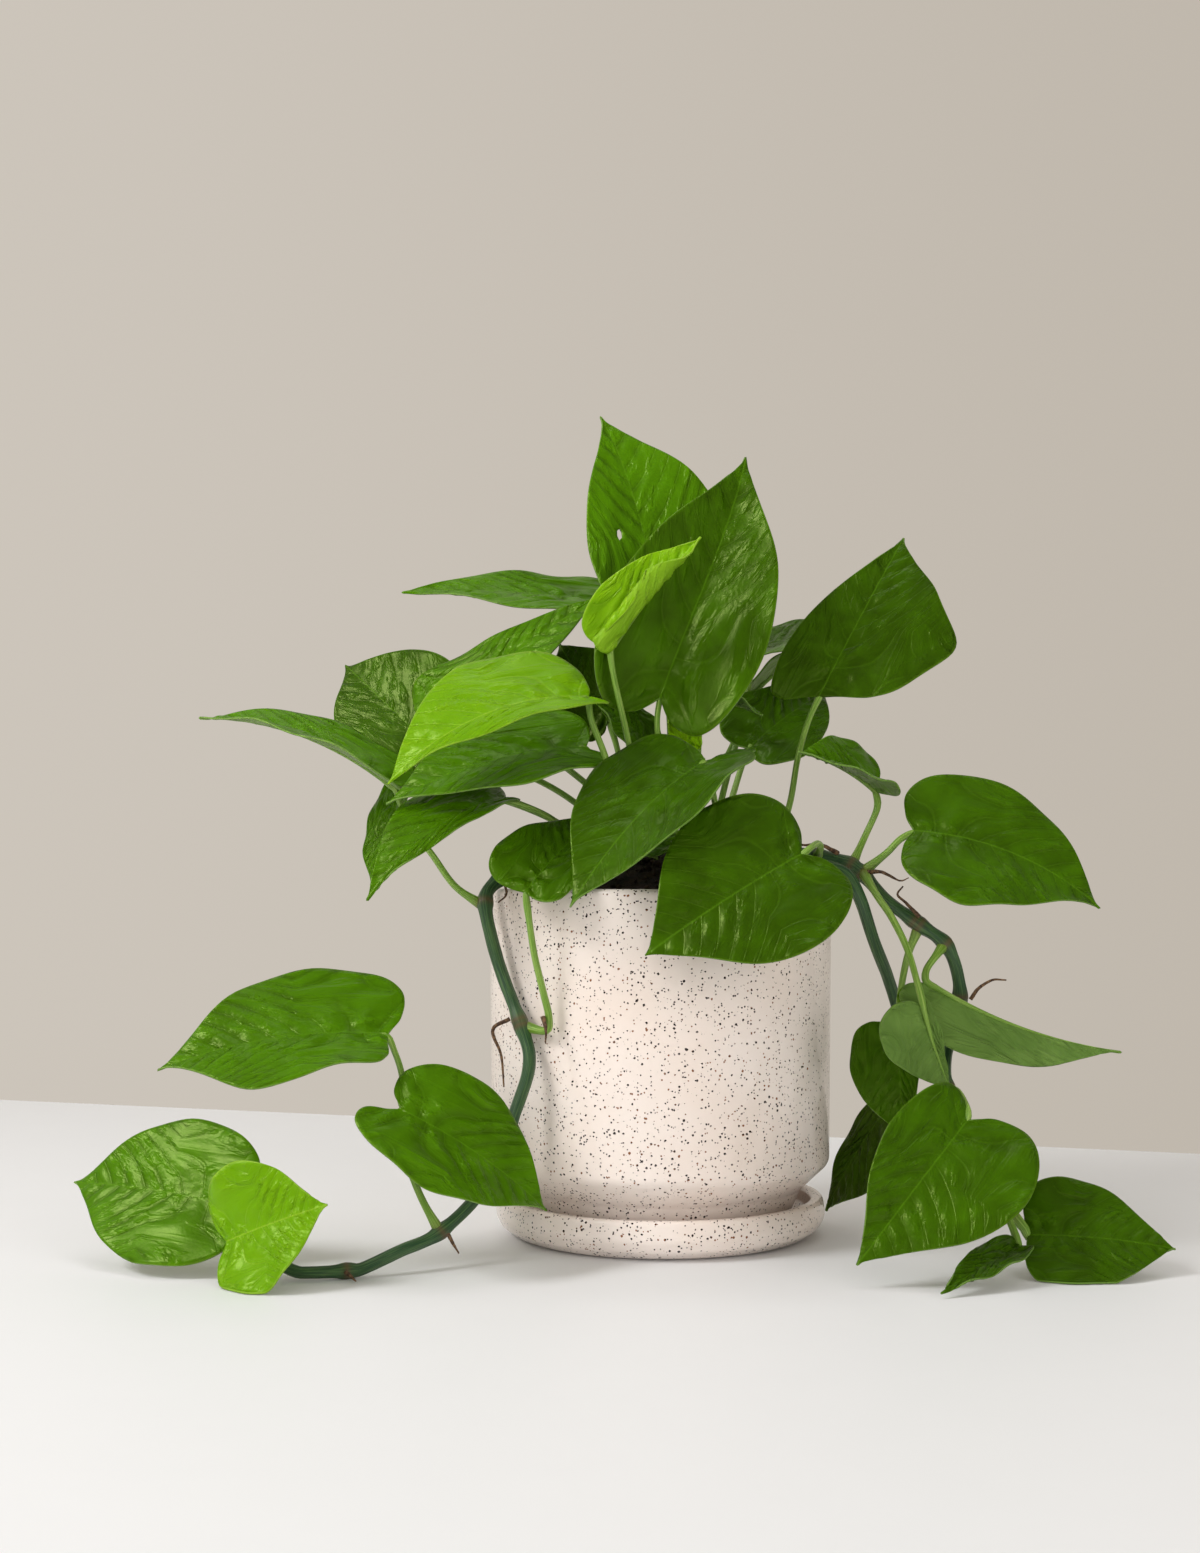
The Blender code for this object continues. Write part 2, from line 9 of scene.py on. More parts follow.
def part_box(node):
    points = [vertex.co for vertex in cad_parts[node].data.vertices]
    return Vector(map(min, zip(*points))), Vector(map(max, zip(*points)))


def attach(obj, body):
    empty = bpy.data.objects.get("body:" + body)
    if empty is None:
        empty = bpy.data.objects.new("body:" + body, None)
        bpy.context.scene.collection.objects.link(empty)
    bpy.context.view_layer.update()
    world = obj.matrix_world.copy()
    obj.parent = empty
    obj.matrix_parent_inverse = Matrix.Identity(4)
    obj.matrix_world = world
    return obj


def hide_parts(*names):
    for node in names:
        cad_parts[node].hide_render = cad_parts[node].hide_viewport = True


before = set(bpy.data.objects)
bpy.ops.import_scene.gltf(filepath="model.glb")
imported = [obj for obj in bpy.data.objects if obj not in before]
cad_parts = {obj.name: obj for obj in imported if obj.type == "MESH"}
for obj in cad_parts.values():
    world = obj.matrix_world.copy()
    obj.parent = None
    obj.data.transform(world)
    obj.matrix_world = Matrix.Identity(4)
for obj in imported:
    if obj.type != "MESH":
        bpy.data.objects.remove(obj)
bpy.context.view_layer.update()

mm = 0.001
body = "root"
print("frame loaded:", len(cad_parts), "nodes")

# The routes and leaves below are laid out in millimetres round a pot of the design's size
potLow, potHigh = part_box("pot")
potRadius = potHigh.x
rimHeight = potHigh.z
designRadius = 0.065
designRim = 0.131


def at(x, y, z):
    across = mm * potRadius / designRadius
    height = z * mm
    if height > designRim:
        height += rimHeight - designRim
    else:
        height *= rimHeight / designRim
    return Vector((x * across, y * across, height))


def newMaterial(name):
    material = bpy.data.materials.new(name)
    material.use_nodes = True
    return material, material.node_tree, material.node_tree.nodes["Principled BSDF"]


def feed(tree, socket, value):
    if isinstance(value, bpy.types.NodeSocket):
        tree.links.new(value, socket)
    elif isinstance(value, tuple) and len(value) == 3 and socket.type == "RGBA":
        socket.default_value = (*value, 1.0)
    else:
        socket.default_value = value


def maths(tree, operation, first, second=0.0, clamp=False):
    node = tree.nodes.new("ShaderNodeMath")
    node.operation = operation
    node.use_clamp = clamp
    feed(tree, node.inputs[0], first)
    feed(tree, node.inputs[1], second)
    return node.outputs[0]


def times(tree, first, second):
    return maths(tree, "MULTIPLY", first, second)


def mixed(tree, share, first, second):
    node = tree.nodes.new("ShaderNodeMix")
    node.data_type = "RGBA"
    feed(tree, node.inputs["Factor"], share)
    feed(tree, node.inputs["A"], first)
    feed(tree, node.inputs["B"], second)
    return node.outputs["Result"]


def ranged(tree, value, low, high, newLow=0.0, newHigh=1.0):
    node = tree.nodes.new("ShaderNodeMapRange")
    node.interpolation_type = "SMOOTHSTEP"
    for socket, number in zip(node.inputs[1:5], (low, high, newLow, newHigh)):
        socket.default_value = number
    feed(tree, node.inputs[0], value)
    return node.outputs[0]


def noisy(tree, place, scale, detail=2.0, rough=0.5, distortion=0.0):
    node = tree.nodes.new("ShaderNodeTexNoise")
    feed(tree, node.inputs["Vector"], place)
    node.inputs["Scale"].default_value = scale
    node.inputs["Detail"].default_value = detail
    node.inputs["Roughness"].default_value = rough
    node.inputs["Distortion"].default_value = distortion
    return node.outputs["Fac"]


def cells(tree, place, scale, feature):
    node = tree.nodes.new("ShaderNodeTexVoronoi")
    node.feature = feature
    feed(tree, node.inputs["Vector"], place)
    node.inputs["Scale"].default_value = scale
    return node.outputs["Distance"]


def objectPlace(tree):
    return tree.nodes.new("ShaderNodeTexCoord").outputs["Object"]


def attribute(tree, name, output="Vector"):
    node = tree.nodes.new("ShaderNodeAttribute")
    node.attribute_name = name
    return node.outputs[output]


def split(tree, vector):
    node = tree.nodes.new("ShaderNodeSeparateXYZ")
    feed(tree, node.inputs[0], vector)
    return node.outputs


def joined(tree, x, y, z):
    node = tree.nodes.new("ShaderNodeCombineXYZ")
    for socket, value in zip(node.inputs, (x, y, z)):
        feed(tree, socket, value)
    return node.outputs[0]


def swirled(tree, place, amount, reach):
    node = tree.nodes.new("ShaderNodeVectorMath")
    node.operation = "ADD"
    feed(tree, node.inputs[0], place)
    feed(tree, node.inputs[1], times(tree, amount, reach))
    return node.outputs[0]


def bumped(tree, shader, height, strength, distance, before=None):
    node = tree.nodes.new("ShaderNodeBump")
    node.inputs["Strength"].default_value = strength
    node.inputs["Distance"].default_value = distance
    feed(tree, node.inputs["Height"], height)
    if before is not None:
        feed(tree, node.inputs["Normal"], before)
    feed(tree, shader.inputs["Normal"], node.outputs[0])
    return node.outputs[0]


glazeLook = {
    "cream": (0.86, 0.765, 0.705),
    "blush": (0.83, 0.710, 0.635),
    "speck": (0.016, 0.008, 0.005),
    "rust": (0.23, 0.085, 0.03),
    "roughness": 0.2,
    "coat": 0.25,
    "coatRoughness": 0.08,
    "layers": (  # cells a metre, size of the dots, share of the cells left out
        (850.0, 0.31, 0.52),
        (620.0, 0.30, 0.70),
        (400.0, 0.21, 0.85),
    ),
    "wander": 0.0006,
    "grain": 1500.0,
}


def glazeMaterial():
    material, tree, shader = newMaterial("speckledGlaze")
    place = objectPlace(tree)
    cloud = noisy(tree, place, 22.0, 3.0)
    colour = mixed(tree, ranged(tree, cloud, 0.35, 0.75), glazeLook["cream"], glazeLook["blush"])
    ragged = tree.nodes.new("ShaderNodeMix")
    ragged.data_type = "VECTOR"
    ragged.inputs["Factor"].default_value = glazeLook["wander"]
    feed(tree, ragged.inputs["A"], place)
    fine = tree.nodes.new("ShaderNodeTexNoise")
    feed(tree, fine.inputs["Vector"], place)
    fine.inputs["Scale"].default_value = glazeLook["grain"]
    feed(tree, ragged.inputs["B"], fine.outputs["Color"])
    dots = None
    for scale, size, leftOut in glazeLook["layers"]:
        node = tree.nodes.new("ShaderNodeTexVoronoi")
        feed(tree, node.inputs["Vector"], ragged.outputs["Result"])
        node.inputs["Scale"].default_value = scale
        chance = split(tree, node.outputs["Color"])
        reach = ranged(tree, chance[0], leftOut, 1.0, size * 0.55, size)
        reach = times(tree, reach, maths(tree, "GREATER_THAN", chance[0], leftOut))
        dot = maths(tree, "SUBTRACT", reach, node.outputs["Distance"])
        dot = ranged(tree, dot, -0.01, 0.015)
        dots = dot if dots is None else maths(tree, "MAXIMUM", dots, dot)
        rust = chance[1]
    tint = mixed(tree, ranged(tree, rust, 0.72, 0.85), glazeLook["speck"], glazeLook["rust"])
    feed(tree, shader.inputs["Base Color"], mixed(tree, dots, colour, tint))
    shader.inputs["Roughness"].default_value = glazeLook["roughness"]
    shader.inputs["Coat Weight"].default_value = glazeLook["coat"]
    shader.inputs["Coat Roughness"].default_value = glazeLook["coatRoughness"]
    wavy = bumped(tree, shader, noisy(tree, place, 55.0, 2.0), 0.25, 0.0012)
    bumped(tree, shader, dots, 0.35, 0.0002, wavy)
    return material


veins = {
    "perSide": 9.0,
    "slope": 0.55,
    "curve": 1.1,
    "gather": 4.0,  # how soon the veins turn towards the tip, from the base on
    "fan": 0.55,
}

greenLook = {
    "dark": (0.020, 0.053, 0.0002),
    "fresh": (0.078, 0.225, 0.0003),
    "streak": (0.110, 0.300, 0.0010),
    "vein": (0.110, 0.270, 0.0080),
    "margin": (0.130, 0.260, 0.0100),
    "roughness": 0.34,
}
limeLook = {
    "dark": (0.110, 0.280, 0.0006),
    "fresh": (0.200, 0.420, 0.0010),
    "streak": (0.330, 0.560, 0.0150),
    "vein": (0.400, 0.600, 0.0500),
    "margin": (0.380, 0.560, 0.0600),
    "roughness": 0.34,
}
underLook = {
    "dark": (0.055, 0.120, 0.0180),
    "fresh": (0.170, 0.290, 0.0650),
    "streak": (0.200, 0.320, 0.0750),
    "vein": (0.210, 0.350, 0.0800),
    "margin": (0.180, 0.310, 0.0600),
    "roughness": 0.5,
}
limeUnderLook = {
    "dark": (0.130, 0.290, 0.0050),
    "fresh": (0.230, 0.430, 0.0150),
    "streak": (0.320, 0.520, 0.0400),
    "vein": (0.340, 0.540, 0.0700),
    "margin": (0.320, 0.500, 0.0600),
    "roughness": 0.5,
}


leafSkin = {
    "veinWander": 0.14,
    "toneShare": 0.9,
    "patchiness": 0.75,
    "puffRows": 1.5,  # rows of puffs from one side vein to the next
    "puffsAcross": 13.0,
    "puffSwirl": 0.9,
    "palePuffs": (0.06, 0.45),  # on a leaf of tone 0 and on one of tone 1
    "valleyShade": 0.5,
    "veinPaint": 0.11,
    "midribPaint": 0.30,
    "marginPaint": 0.35,
}
leafShading = {
    "Specular IOR Level": 0.38,
    "Specular Tint": (0.80, 1.0, 0.25, 1.0),
    "Subsurface Weight": 0.10,
    "Subsurface Radius": (0.6, 1.0, 0.15),
    "Subsurface Scale": 0.0012,
}


def veinPhase(tree, u, v):
    away = maths(tree, "ABSOLUTE", v)
    lead = times(tree, away, veins["slope"])
    lead = maths(tree, "ADD", lead, times(tree, times(tree, away, away), veins["curve"]))
    turn = maths(tree, "SUBTRACT", times(tree, u, veins["gather"]), veins["fan"])
    turn = maths(tree, "MAXIMUM", maths(tree, "MINIMUM", turn, 1.0), -veins["fan"])
    origin = maths(tree, "SUBTRACT", u, times(tree, lead, turn))
    phase = times(tree, origin, veins["perSide"])
    shift = times(tree, maths(tree, "GREATER_THAN", v, 0.0), 0.5)
    return maths(tree, "ADD", phase, shift), away


def leafMaterial(name, look):
    skin = leafSkin
    material, tree, shader = newMaterial(name)
    place = objectPlace(tree)
    u, v, seed = split(tree, attribute(tree, "bladePlace"))
    edge = attribute(tree, "bladeEdge", "Fac")
    tone = attribute(tree, "bladeTone", "Fac")
    phase, away = veinPhase(tree, u, v)
    wander = noisy(tree, place, 90.0, 2.0)
    phase = maths(tree, "ADD", phase, times(tree, wander, skin["veinWander"]))
    spread = maths(tree, "ABSOLUTE", maths(tree, "SUBTRACT", maths(tree, "FRACT", phase), 0.5))
    line = ranged(tree, spread, 0.01, 0.07, 1.0, 0.0)
    line = times(tree, line, ranged(tree, away, 0.40, 0.48, 1.0, 0.0))
    midrib = ranged(tree, away, 0.003, 0.008, 1.0, 0.0)
    patch = noisy(tree, place, 70.0, 4.0, 0.62, 0.5)
    uneven = times(tree, maths(tree, "SUBTRACT", patch, 0.47), skin["patchiness"])
    share = maths(tree, "ADD", times(tree, tone, skin["toneShare"]), uneven, True)
    colour = mixed(tree, share, look["dark"], look["fresh"])
    # puffs in rows between the veins, each with its own height; their paler colour is partly the
    # leaf's mottling and partly painted light on the raised puffs
    rows = times(tree, phase, skin["puffRows"])
    along = joined(tree, rows, times(tree, away, skin["puffsAcross"]), seed)
    along = swirled(tree, along, noisy(tree, along, 1.1, 2.0), skin["puffSwirl"])
    puffs = ranged(tree, cells(tree, along, 1.0, "SMOOTH_F1"), 0.12, 0.62, 1.0, 0.0)
    puffs = times(tree, puffs, ranged(tree, noisy(tree, along, 0.7, 3.0, 0.6), 0.36, 0.66))
    puffMottleAndLight = times(tree, puffs, ranged(tree, tone, 0.0, 1.0, *skin["palePuffs"]))
    colour = mixed(tree, puffMottleAndLight, colour, look["streak"])
    # painted shade in the grooves along the veins, less of it where the patch noise is high
    veinGrooveShade = ranged(tree, spread, 0.0, 0.30, 1.0, 0.0)
    veinGrooveShade = times(tree, veinGrooveShade, ranged(tree, patch, 0.35, 0.65, 1.0, 0.25))
    colour = mixed(tree, times(tree, veinGrooveShade, skin["valleyShade"]), colour, look["dark"])
    colour = mixed(tree, times(tree, line, skin["veinPaint"]), colour, look["vein"])
    colour = mixed(tree, times(tree, midrib, skin["midribPaint"]), colour, look["vein"])
    border = ranged(tree, edge, 0.970, 0.995)
    colour = mixed(tree, times(tree, border, skin["marginPaint"]), colour, look["margin"])
    feed(tree, shader.inputs["Base Color"], colour)
    rough = times(tree, noisy(tree, place, 160.0, 3.0), 0.14)
    feed(tree, shader.inputs["Roughness"], maths(tree, "ADD", rough, look["roughness"] - 0.07))
    for socket, value in leafShading.items():
        shader.inputs[socket].default_value = value
    net = cells(tree, place, 620.0, "DISTANCE_TO_EDGE")
    bumps = bumped(tree, shader, net, 0.22, 0.00022)
    bumps = bumped(tree, shader, noisy(tree, place, 330.0, 4.0), 0.20, 0.0003, bumps)
    bumps = bumped(tree, shader, puffs, 0.8, 0.0008, bumps)
    bumped(tree, shader, line, 0.4, -0.00025, bumps)
    return material


stemLook = {
    "dark": (0.018, 0.060, 0.021),
    "pale": (0.075, 0.155, 0.045),
    "brown": (0.120, 0.070, 0.030),
    "roughness": 0.42,
}
stalkLook = {
    "dark": (0.110, 0.245, 0.012),
    "pale": (0.330, 0.480, 0.100),
    "brown": (0.110, 0.060, 0.022),
    "roughness": 0.40,
}


def stemMaterial(name, look, brownShare):
    material, tree, shader = newMaterial(name)
    x, y, z = split(tree, attribute(tree, "way"))
    lengthwise = joined(tree, times(tree, x, 4.0), times(tree, y, 4.0), times(tree, z, 45.0))
    streaks = noisy(tree, lengthwise, 1.6, 4.0, 0.6)
    colour = mixed(tree, ranged(tree, streaks, 0.42, 0.66), look["dark"], look["pale"])
    flecks = joined(tree, times(tree, x, 6.0), times(tree, y, 6.0), times(tree, z, 160.0))
    brown = ranged(tree, noisy(tree, flecks, 1.9, 3.0, 0.6), 0.60, 0.70)
    colour = mixed(tree, times(tree, brown, brownShare), colour, look["brown"])
    knot = attribute(tree, "knot", "Fac")
    colour = mixed(tree, times(tree, knot, 0.75), colour, look["brown"])
    feed(tree, shader.inputs["Base Color"], colour)
    shader.inputs["Roughness"].default_value = look["roughness"]
    bumped(tree, shader, streaks, 0.5, 0.0006)
    return material


rootLook = {"dark": (0.045, 0.022, 0.012), "pale": (0.200, 0.110, 0.050)}


def rootMaterial():
    material, tree, shader = newMaterial("rootBark")
    grain = noisy(tree, objectPlace(tree), 900.0, 4.0, 0.6)
    colour = mixed(tree, ranged(tree, grain, 0.35, 0.7), rootLook["dark"], rootLook["pale"])
    feed(tree, shader.inputs["Base Color"], colour)
    shader.inputs["Roughness"].default_value = 0.8
    bumped(tree, shader, grain, 0.5, 0.0004)
    return material


soilLook = {
    "dark": (0.008, 0.004, 0.0025),
    "brown": (0.050, 0.026, 0.0140),
    "pale": (0.130, 0.080, 0.0480),
}


def soilMaterial():
    material, tree, shader = newMaterial("pottingSoil")
    place = objectPlace(tree)
    clods = ranged(tree, noisy(tree, place, 260.0, 5.0, 0.65), 0.38, 0.7)
    colour = mixed(tree, clods, soilLook["dark"], soilLook["brown"])
    bits = ranged(tree, noisy(tree, place, 900.0, 3.0), 0.66, 0.74)
    colour = mixed(tree, times(tree, bits, 0.5), colour, soilLook["pale"])
    feed(tree, shader.inputs["Base Color"], colour)
    shader.inputs["Roughness"].default_value = 0.92
    bumped(tree, shader, noisy(tree, place, 700.0, 5.0, 0.7), 0.9, 0.0009)
    return material


materials = {
    "glaze": glazeMaterial(),
    "leaf": leafMaterial("leafGreen", greenLook),
    "leafUnder": leafMaterial("leafGreenUnder", underLook),
    "lime": leafMaterial("leafYoung", limeLook),
    "limeUnder": leafMaterial("leafYoungUnder", limeUnderLook),
    "stem": stemMaterial("vineSkin", stemLook, 0.35),
    "stalk": stemMaterial("stalkSkin", stalkLook, 0.45),
    "root": rootMaterial(),
    "soil": soilMaterial(),
}
print("materials:", len(materials))


def addPiece(name, bm, looks, nodes):
    mesh = bpy.data.meshes.new(name)
    bm.to_mesh(mesh)
    bm.free()
    mesh.shade_smooth()
    piece = bpy.data.objects.new(name, mesh)
    for look in looks:
        mesh.materials.append(materials[look])
    bpy.context.scene.collection.objects.link(piece)
    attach(piece, body)
    if nodes:
        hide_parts(*nodes)
    return piece


def splineAt(points, t):
    i = min(int(t), len(points) - 2)
    t -= i
    start, end = points[i], points[i + 1]
    before = points[i - 1] if i > 0 else start * 2 - end
    after = points[i + 2] if i + 2 < len(points) else end * 2 - start
    return 0.5 * (
        2 * start
        + (end - before) * t
        + (2 * before - 5 * start + 4 * end - after) * t**2
        + (3 * start - before - 3 * end + after) * t**3
    )


def smoothRoute(points, spacing):
    route = [points[0]]
    for i, (start, end) in enumerate(zip(points, points[1:])):
        steps = max(1, round((end - start).length / spacing))
        route += [splineAt(points, i + k / steps) for k in range(1, steps + 1)]
    return route


def roundedOutline(corners, steps=6):
    # each corner is its radius, its height and how round it is
    outline = []
    for i, (radius, height, fillet) in enumerate(corners):
        here = Vector((radius, height))
        if fillet == 0:
            outline.append(here)
            continue
        before = Vector(corners[i - 1][:2]) - here
        after = Vector(corners[(i + 1) % len(corners)][:2]) - here
        reach = fillet / math.tan(before.angle(after) / 2)
        start = here + before.normalized() * min(reach, before.length * 0.48)
        end = here + after.normalized() * min(reach, after.length * 0.48)
        for k in range(steps + 1):
            t = k / steps
            outline.append(start * (1 - t) ** 2 + here * 2 * t * (1 - t) + end * t * t)
    return outline


def turnedShape(outline, closed, steps):
    bm = bmesh.new()
    ring = [bm.verts.new((p.x, 0.0, p.y)) for p in outline]
    for first, second in zip(ring, ring[1:]):
        bm.edges.new((first, second))
    if closed:
        bm.edges.new((ring[-1], ring[0]))
    bmesh.ops.spin(
        bm, geom=bm.verts[:] + bm.edges[:], cent=(0, 0, 0), axis=(0, 0, 1), dvec=(0, 0, 0),
        angle=2 * math.pi, steps=steps, use_merge=True, use_normal_flip=False, use_duplicate=False,
    )
    bmesh.ops.remove_doubles(bm, verts=bm.verts, dist=1e-6)
    bmesh.ops.recalc_face_normals(bm, faces=bm.faces)
    return bm


def sweptTube(bm, route, radiusAt, sides):
    # carries a circle along the route; radiusAt gets the distance along it and the angle round it
    way = bm.verts.layers.float_vector["way"]
    ring = bmesh.ops.create_circle(bm, segments=sides, radius=1.0)["verts"]
    for i, vert in enumerate(ring):
        angle = 2 * math.pi * i / sides
        vert[way] = (math.cos(angle), math.sin(angle), 0.0)
    edges = list(dict.fromkeys(edge for vert in ring for edge in vert.link_edges))
    firstEdges = edges
    side = None
    travelled = 0.0
    for i, centre in enumerate(route):
        ahead = route[min(i + 1, len(route) - 1)] - route[max(i - 1, 0)]
        ahead.normalize()
        if side is None:
            side = ahead.orthogonal()
        side = (side - ahead * side.dot(ahead)).normalized()
        upward = ahead.cross(side)
        if i > 0:
            travelled += (centre - route[i - 1]).length
            grown = bmesh.ops.extrude_edge_only(bm, edges=edges)["geom"]
            ring = [g for g in grown if isinstance(g, bmesh.types.BMVert)]
            fresh = set(ring)
            newEdges = [g for g in grown if isinstance(g, bmesh.types.BMEdge)]
            edges = [edge for edge in newEdges if set(edge.verts) <= fresh]
        for vert in ring:
            x, y, z = vert[way]
            radius = radiusAt(travelled, math.atan2(y, x))
            vert.co = centre + (side * x + upward * y) * radius
            vert[way] = (x, y, travelled)
    for loop in (firstEdges, edges):
        bmesh.ops.edgeloop_fill(bm, edges=loop)
    return travelled


def routeLengths(route):
    lengths = [0.0]
    for first, second in zip(route, route[1:]):
        lengths.append(lengths[-1] + (second - first).length)
    return lengths


potShape = {
    "wall": 0.0058,
    "floor": 0.006,
    "taper": 0.0008,
    "chamferHeight": 0.010,
    "chamferInset": 0.0105,
    "footHeight": 0.013,
    "seatInset": 0.0075,
    "drainRadius": 0.006,
    "rimRound": 0.0026,
    "seatZ": potLow.z,
    "steps": 160,
}
saucerShape = {
    "gutter": 0.006,
    "flare": 0.0105,
    "height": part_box("saucer")[1].z,
    "wall": 0.0048,
    "floor": 0.0047,
    "bulge": 0.0010,
    "lipRound": 0.0023,
    "steps": 160,
}


def makePot():
    s = potShape
    chamferZ = s["seatZ"] + s["footHeight"]
    low = potRadius - s["taper"]
    foot = low - s["chamferInset"]
    inner = foot - s["wall"] * 0.5
    floorZ = s["seatZ"] + s["floor"]
    corners = [
        (potRadius, rimHeight, s["rimRound"]),
        (low, chamferZ + s["chamferHeight"], 0.006),
        (foot, chamferZ, 0.005),
        (foot - s["seatInset"] * 0.6, s["seatZ"] + 0.003, 0.003),
        (foot - s["seatInset"], s["seatZ"], 0.001),
        (s["drainRadius"], s["seatZ"], 0.0008),
        (s["drainRadius"], floorZ, 0.0008),
        (inner - 0.006, floorZ, 0.003),
        (inner - 0.001, chamferZ + 0.002, 0.004),
        (low - s["wall"], chamferZ + s["chamferHeight"] + 0.002, 0.005),
        (potRadius - s["wall"], rimHeight, s["rimRound"]),
    ]
    bm = turnedShape(roundedOutline(corners), True, s["steps"])
    addPiece("glazed_pot", bm, ["glaze"], ["pot"])


def makeSaucer():
    s = saucerShape
    foot = potRadius - potShape["taper"] - potShape["chamferInset"]
    flat = foot - potShape["seatInset"] + s["gutter"]
    widest = flat + s["flare"]
    lip = widest - s["bulge"]
    corners = [
        (0.0, s["floor"], 0),
        (flat, s["floor"], 0.003),
        (lip - s["wall"] - 0.0004, s["floor"] + 0.0045, 0.003),
        (lip - s["wall"], s["height"], s["lipRound"]),
        (lip, s["height"], s["lipRound"]),
        (widest, s["height"] * 0.52, 0.006),
        (widest - 0.0022, s["height"] * 0.25, 0.005),
        (flat + 0.0040, 0.0009, 0.003),
        (flat + 0.0010, 0.0, 0.0008),
        (0.0, 0.0, 0),
    ]
    bm = turnedShape(roundedOutline(corners), False, s["steps"])
    addPiece("glazed_saucer", bm, ["glaze"], ["saucer"])


makePot()
makeSaucer()
print("pot and saucer made")


soilShape = {
    "gap": 0.0003,
    "depthAtWall": 0.006,
    "mound": 0.0185,
    "lumps": 0.0011,
    "rings": 46,
    "steps": 180,
    "crumbs": 900,
    "crumbSizes": (0.0005, 0.0019),
    "seed": 11,
}
soilRadius = potRadius - potShape["wall"] - soilShape["gap"]


def soilHeight(x, y):
    share = min(1.0, math.hypot(x, y) / soilRadius)
    return rimHeight - soilShape["depthAtWall"] + soilShape["mound"] * (1 - share * share)


def makeSoil():
    s = soilShape
    pot = potShape
    chamferZ = pot["seatZ"] + pot["footHeight"]
    low = potRadius - pot["taper"] - pot["wall"] - s["gap"]
    inner = potRadius - pot["taper"] - pot["chamferInset"] - pot["wall"] * 0.5 - s["gap"]
    floorZ = pot["seatZ"] + pot["floor"] + s["gap"]
    outline = []
    for i in range(s["rings"] + 1):
        radius = soilRadius * i / s["rings"]
        outline.append(Vector((radius, soilHeight(radius, 0))))
    outline += [
        Vector((low - 0.0002, chamferZ + pot["chamferHeight"] + 0.004)),
        Vector((inner - 0.0024, chamferZ + 0.004)),
        Vector((inner - 0.0080, floorZ)),
        Vector((0.0, floorZ)),
    ]
    bm = turnedShape(outline, False, s["steps"])
    for vert in bm.verts:
        if vert.co.z > rimHeight - s["depthAtWall"] - 0.001:
            coarse = noise.noise(vert.co * 160)
            fine = noise.noise(vert.co * 520)
            vert.co.z += s["lumps"] * (coarse + 0.6 * fine)
    addPiece("soil_bed", bm, ["soil"], ["soil"])


def makeCrumbs():
    s = soilShape
    draw = random.Random(s["seed"])
    bm = bmesh.new()
    for _ in range(s["crumbs"]):
        distance = (soilRadius - 0.002) * math.sqrt(draw.random())
        angle = draw.uniform(0, 2 * math.pi)
        size = draw.uniform(*s["crumbSizes"]) * (0.55 + 0.45 * draw.random())
        x, y = distance * math.cos(angle), distance * math.sin(angle)
        spin = draw.uniform(0, 6.28)
        turn = Matrix.Rotation(spin, 4, Vector((draw.random(), draw.random(), 0.3)))
        stretch = Matrix.Diagonal((1.0, draw.uniform(0.5, 0.9), draw.uniform(0.4, 0.8), 1.0))
        where = Matrix.Translation((x, y, soilHeight(x, y) + size * 0.3))
        bmesh.ops.create_icosphere(bm, subdivisions=1, radius=size, matrix=where @ turn @ stretch)
    for vert in bm.verts:
        vert.co += noise.noise_vector(vert.co * 900) * 0.0003
    addPiece("soil_crumbs", bm, ["soil"], [])


makeSoil()
makeCrumbs()
print("soil made")


stemShape = {
    "radius": 0.0024,
    "tipShare": 0.85,
    "spacing": 0.0014,
    "sides": 20,
    "ribs": 7,
    "ribDepth": 0.045,
    "knotSwell": 0.34,
    "knotLength": 0.0030,
    "ringLength": 0.0011,
    "buried": 0.004,
}

stemRoutes = {
    "stem_left": [
        (-33, -10, 0), (-44, -15, 139), (-54, -19, 138), (-61, -23, 134), (-65, -30, 126),
        (-60, -38, 105), (-51, -48, 82), (-48, -53, 70), (-52, -56, 55), (-63, -62, 28),
        (-78, -70, 13), (-91, -78, 8), (-107, -84, 2), (-120, -87, 2), (-130, -86, 5),
        (-138, -84, 10),
    ],
    "stem_right_front": [
        (32, -19, 0), (44, -23, 143), (56, -26, 143), (70, -30, 139), (81, -34, 127),
        (93, -36, 118), (103, -36, 110), (108, -33, 96), (107, -34, 83), (102, -39, 71),
        (101, -48, 60), (107, -57, 46), (115, -66, 30), (118, -72, 20),
    ],
    "stem_right_back": [
        (42, -29, 0), (50, -33, 138), (58, -37, 139), (66, -39, 136), (71, -40, 127),
        (77, -32, 112), (84, -20, 98), (89, -12, 84), (91, -6, 70), (90, -2, 62),
    ],
}

rootShape = {
    "radius": 0.0008,
    "tipShare": 0.35,
    "spacing": 0.0008,
    "sides": 10,
    "rough": 0.22,
    "grain": (700, 0.8, 7.7),  # along it, round it, and the seed
}
sheathShape = {
    "radius": 0.0009,
    "tipShare": 0.2,
    "spacing": 0.001,
    "sides": 8,
    "rough": 0.35,
    "grain": (500, 1.0, 3.1),
}

rootRoutes = {
    "root_left_loop": [(-57, -28, 137), (-58, -33, 134), (-57, -36, 129), (-60, -36, 126)],
    "root_left_long": [(-55, -51, 85), (-61, -51, 81), (-58, -52, 72), (-57, -53, 61)],
    "root_left_low": [(-75, -74, 13), (-73, -76, 10), (-71, -77, 7)],
    "root_left_end": [(-108, -88, 3), (-106, -90, 2), (-104, -93, 1)],
    "root_right_hook": [(92, -41, 121), (87, -42, 126), (84, -42, 129), (86, -42, 132)],
    "root_right_low": [(111, -38, 91), (114, -38, 95), (119, -38, 98), (124, -38, 98)],
}

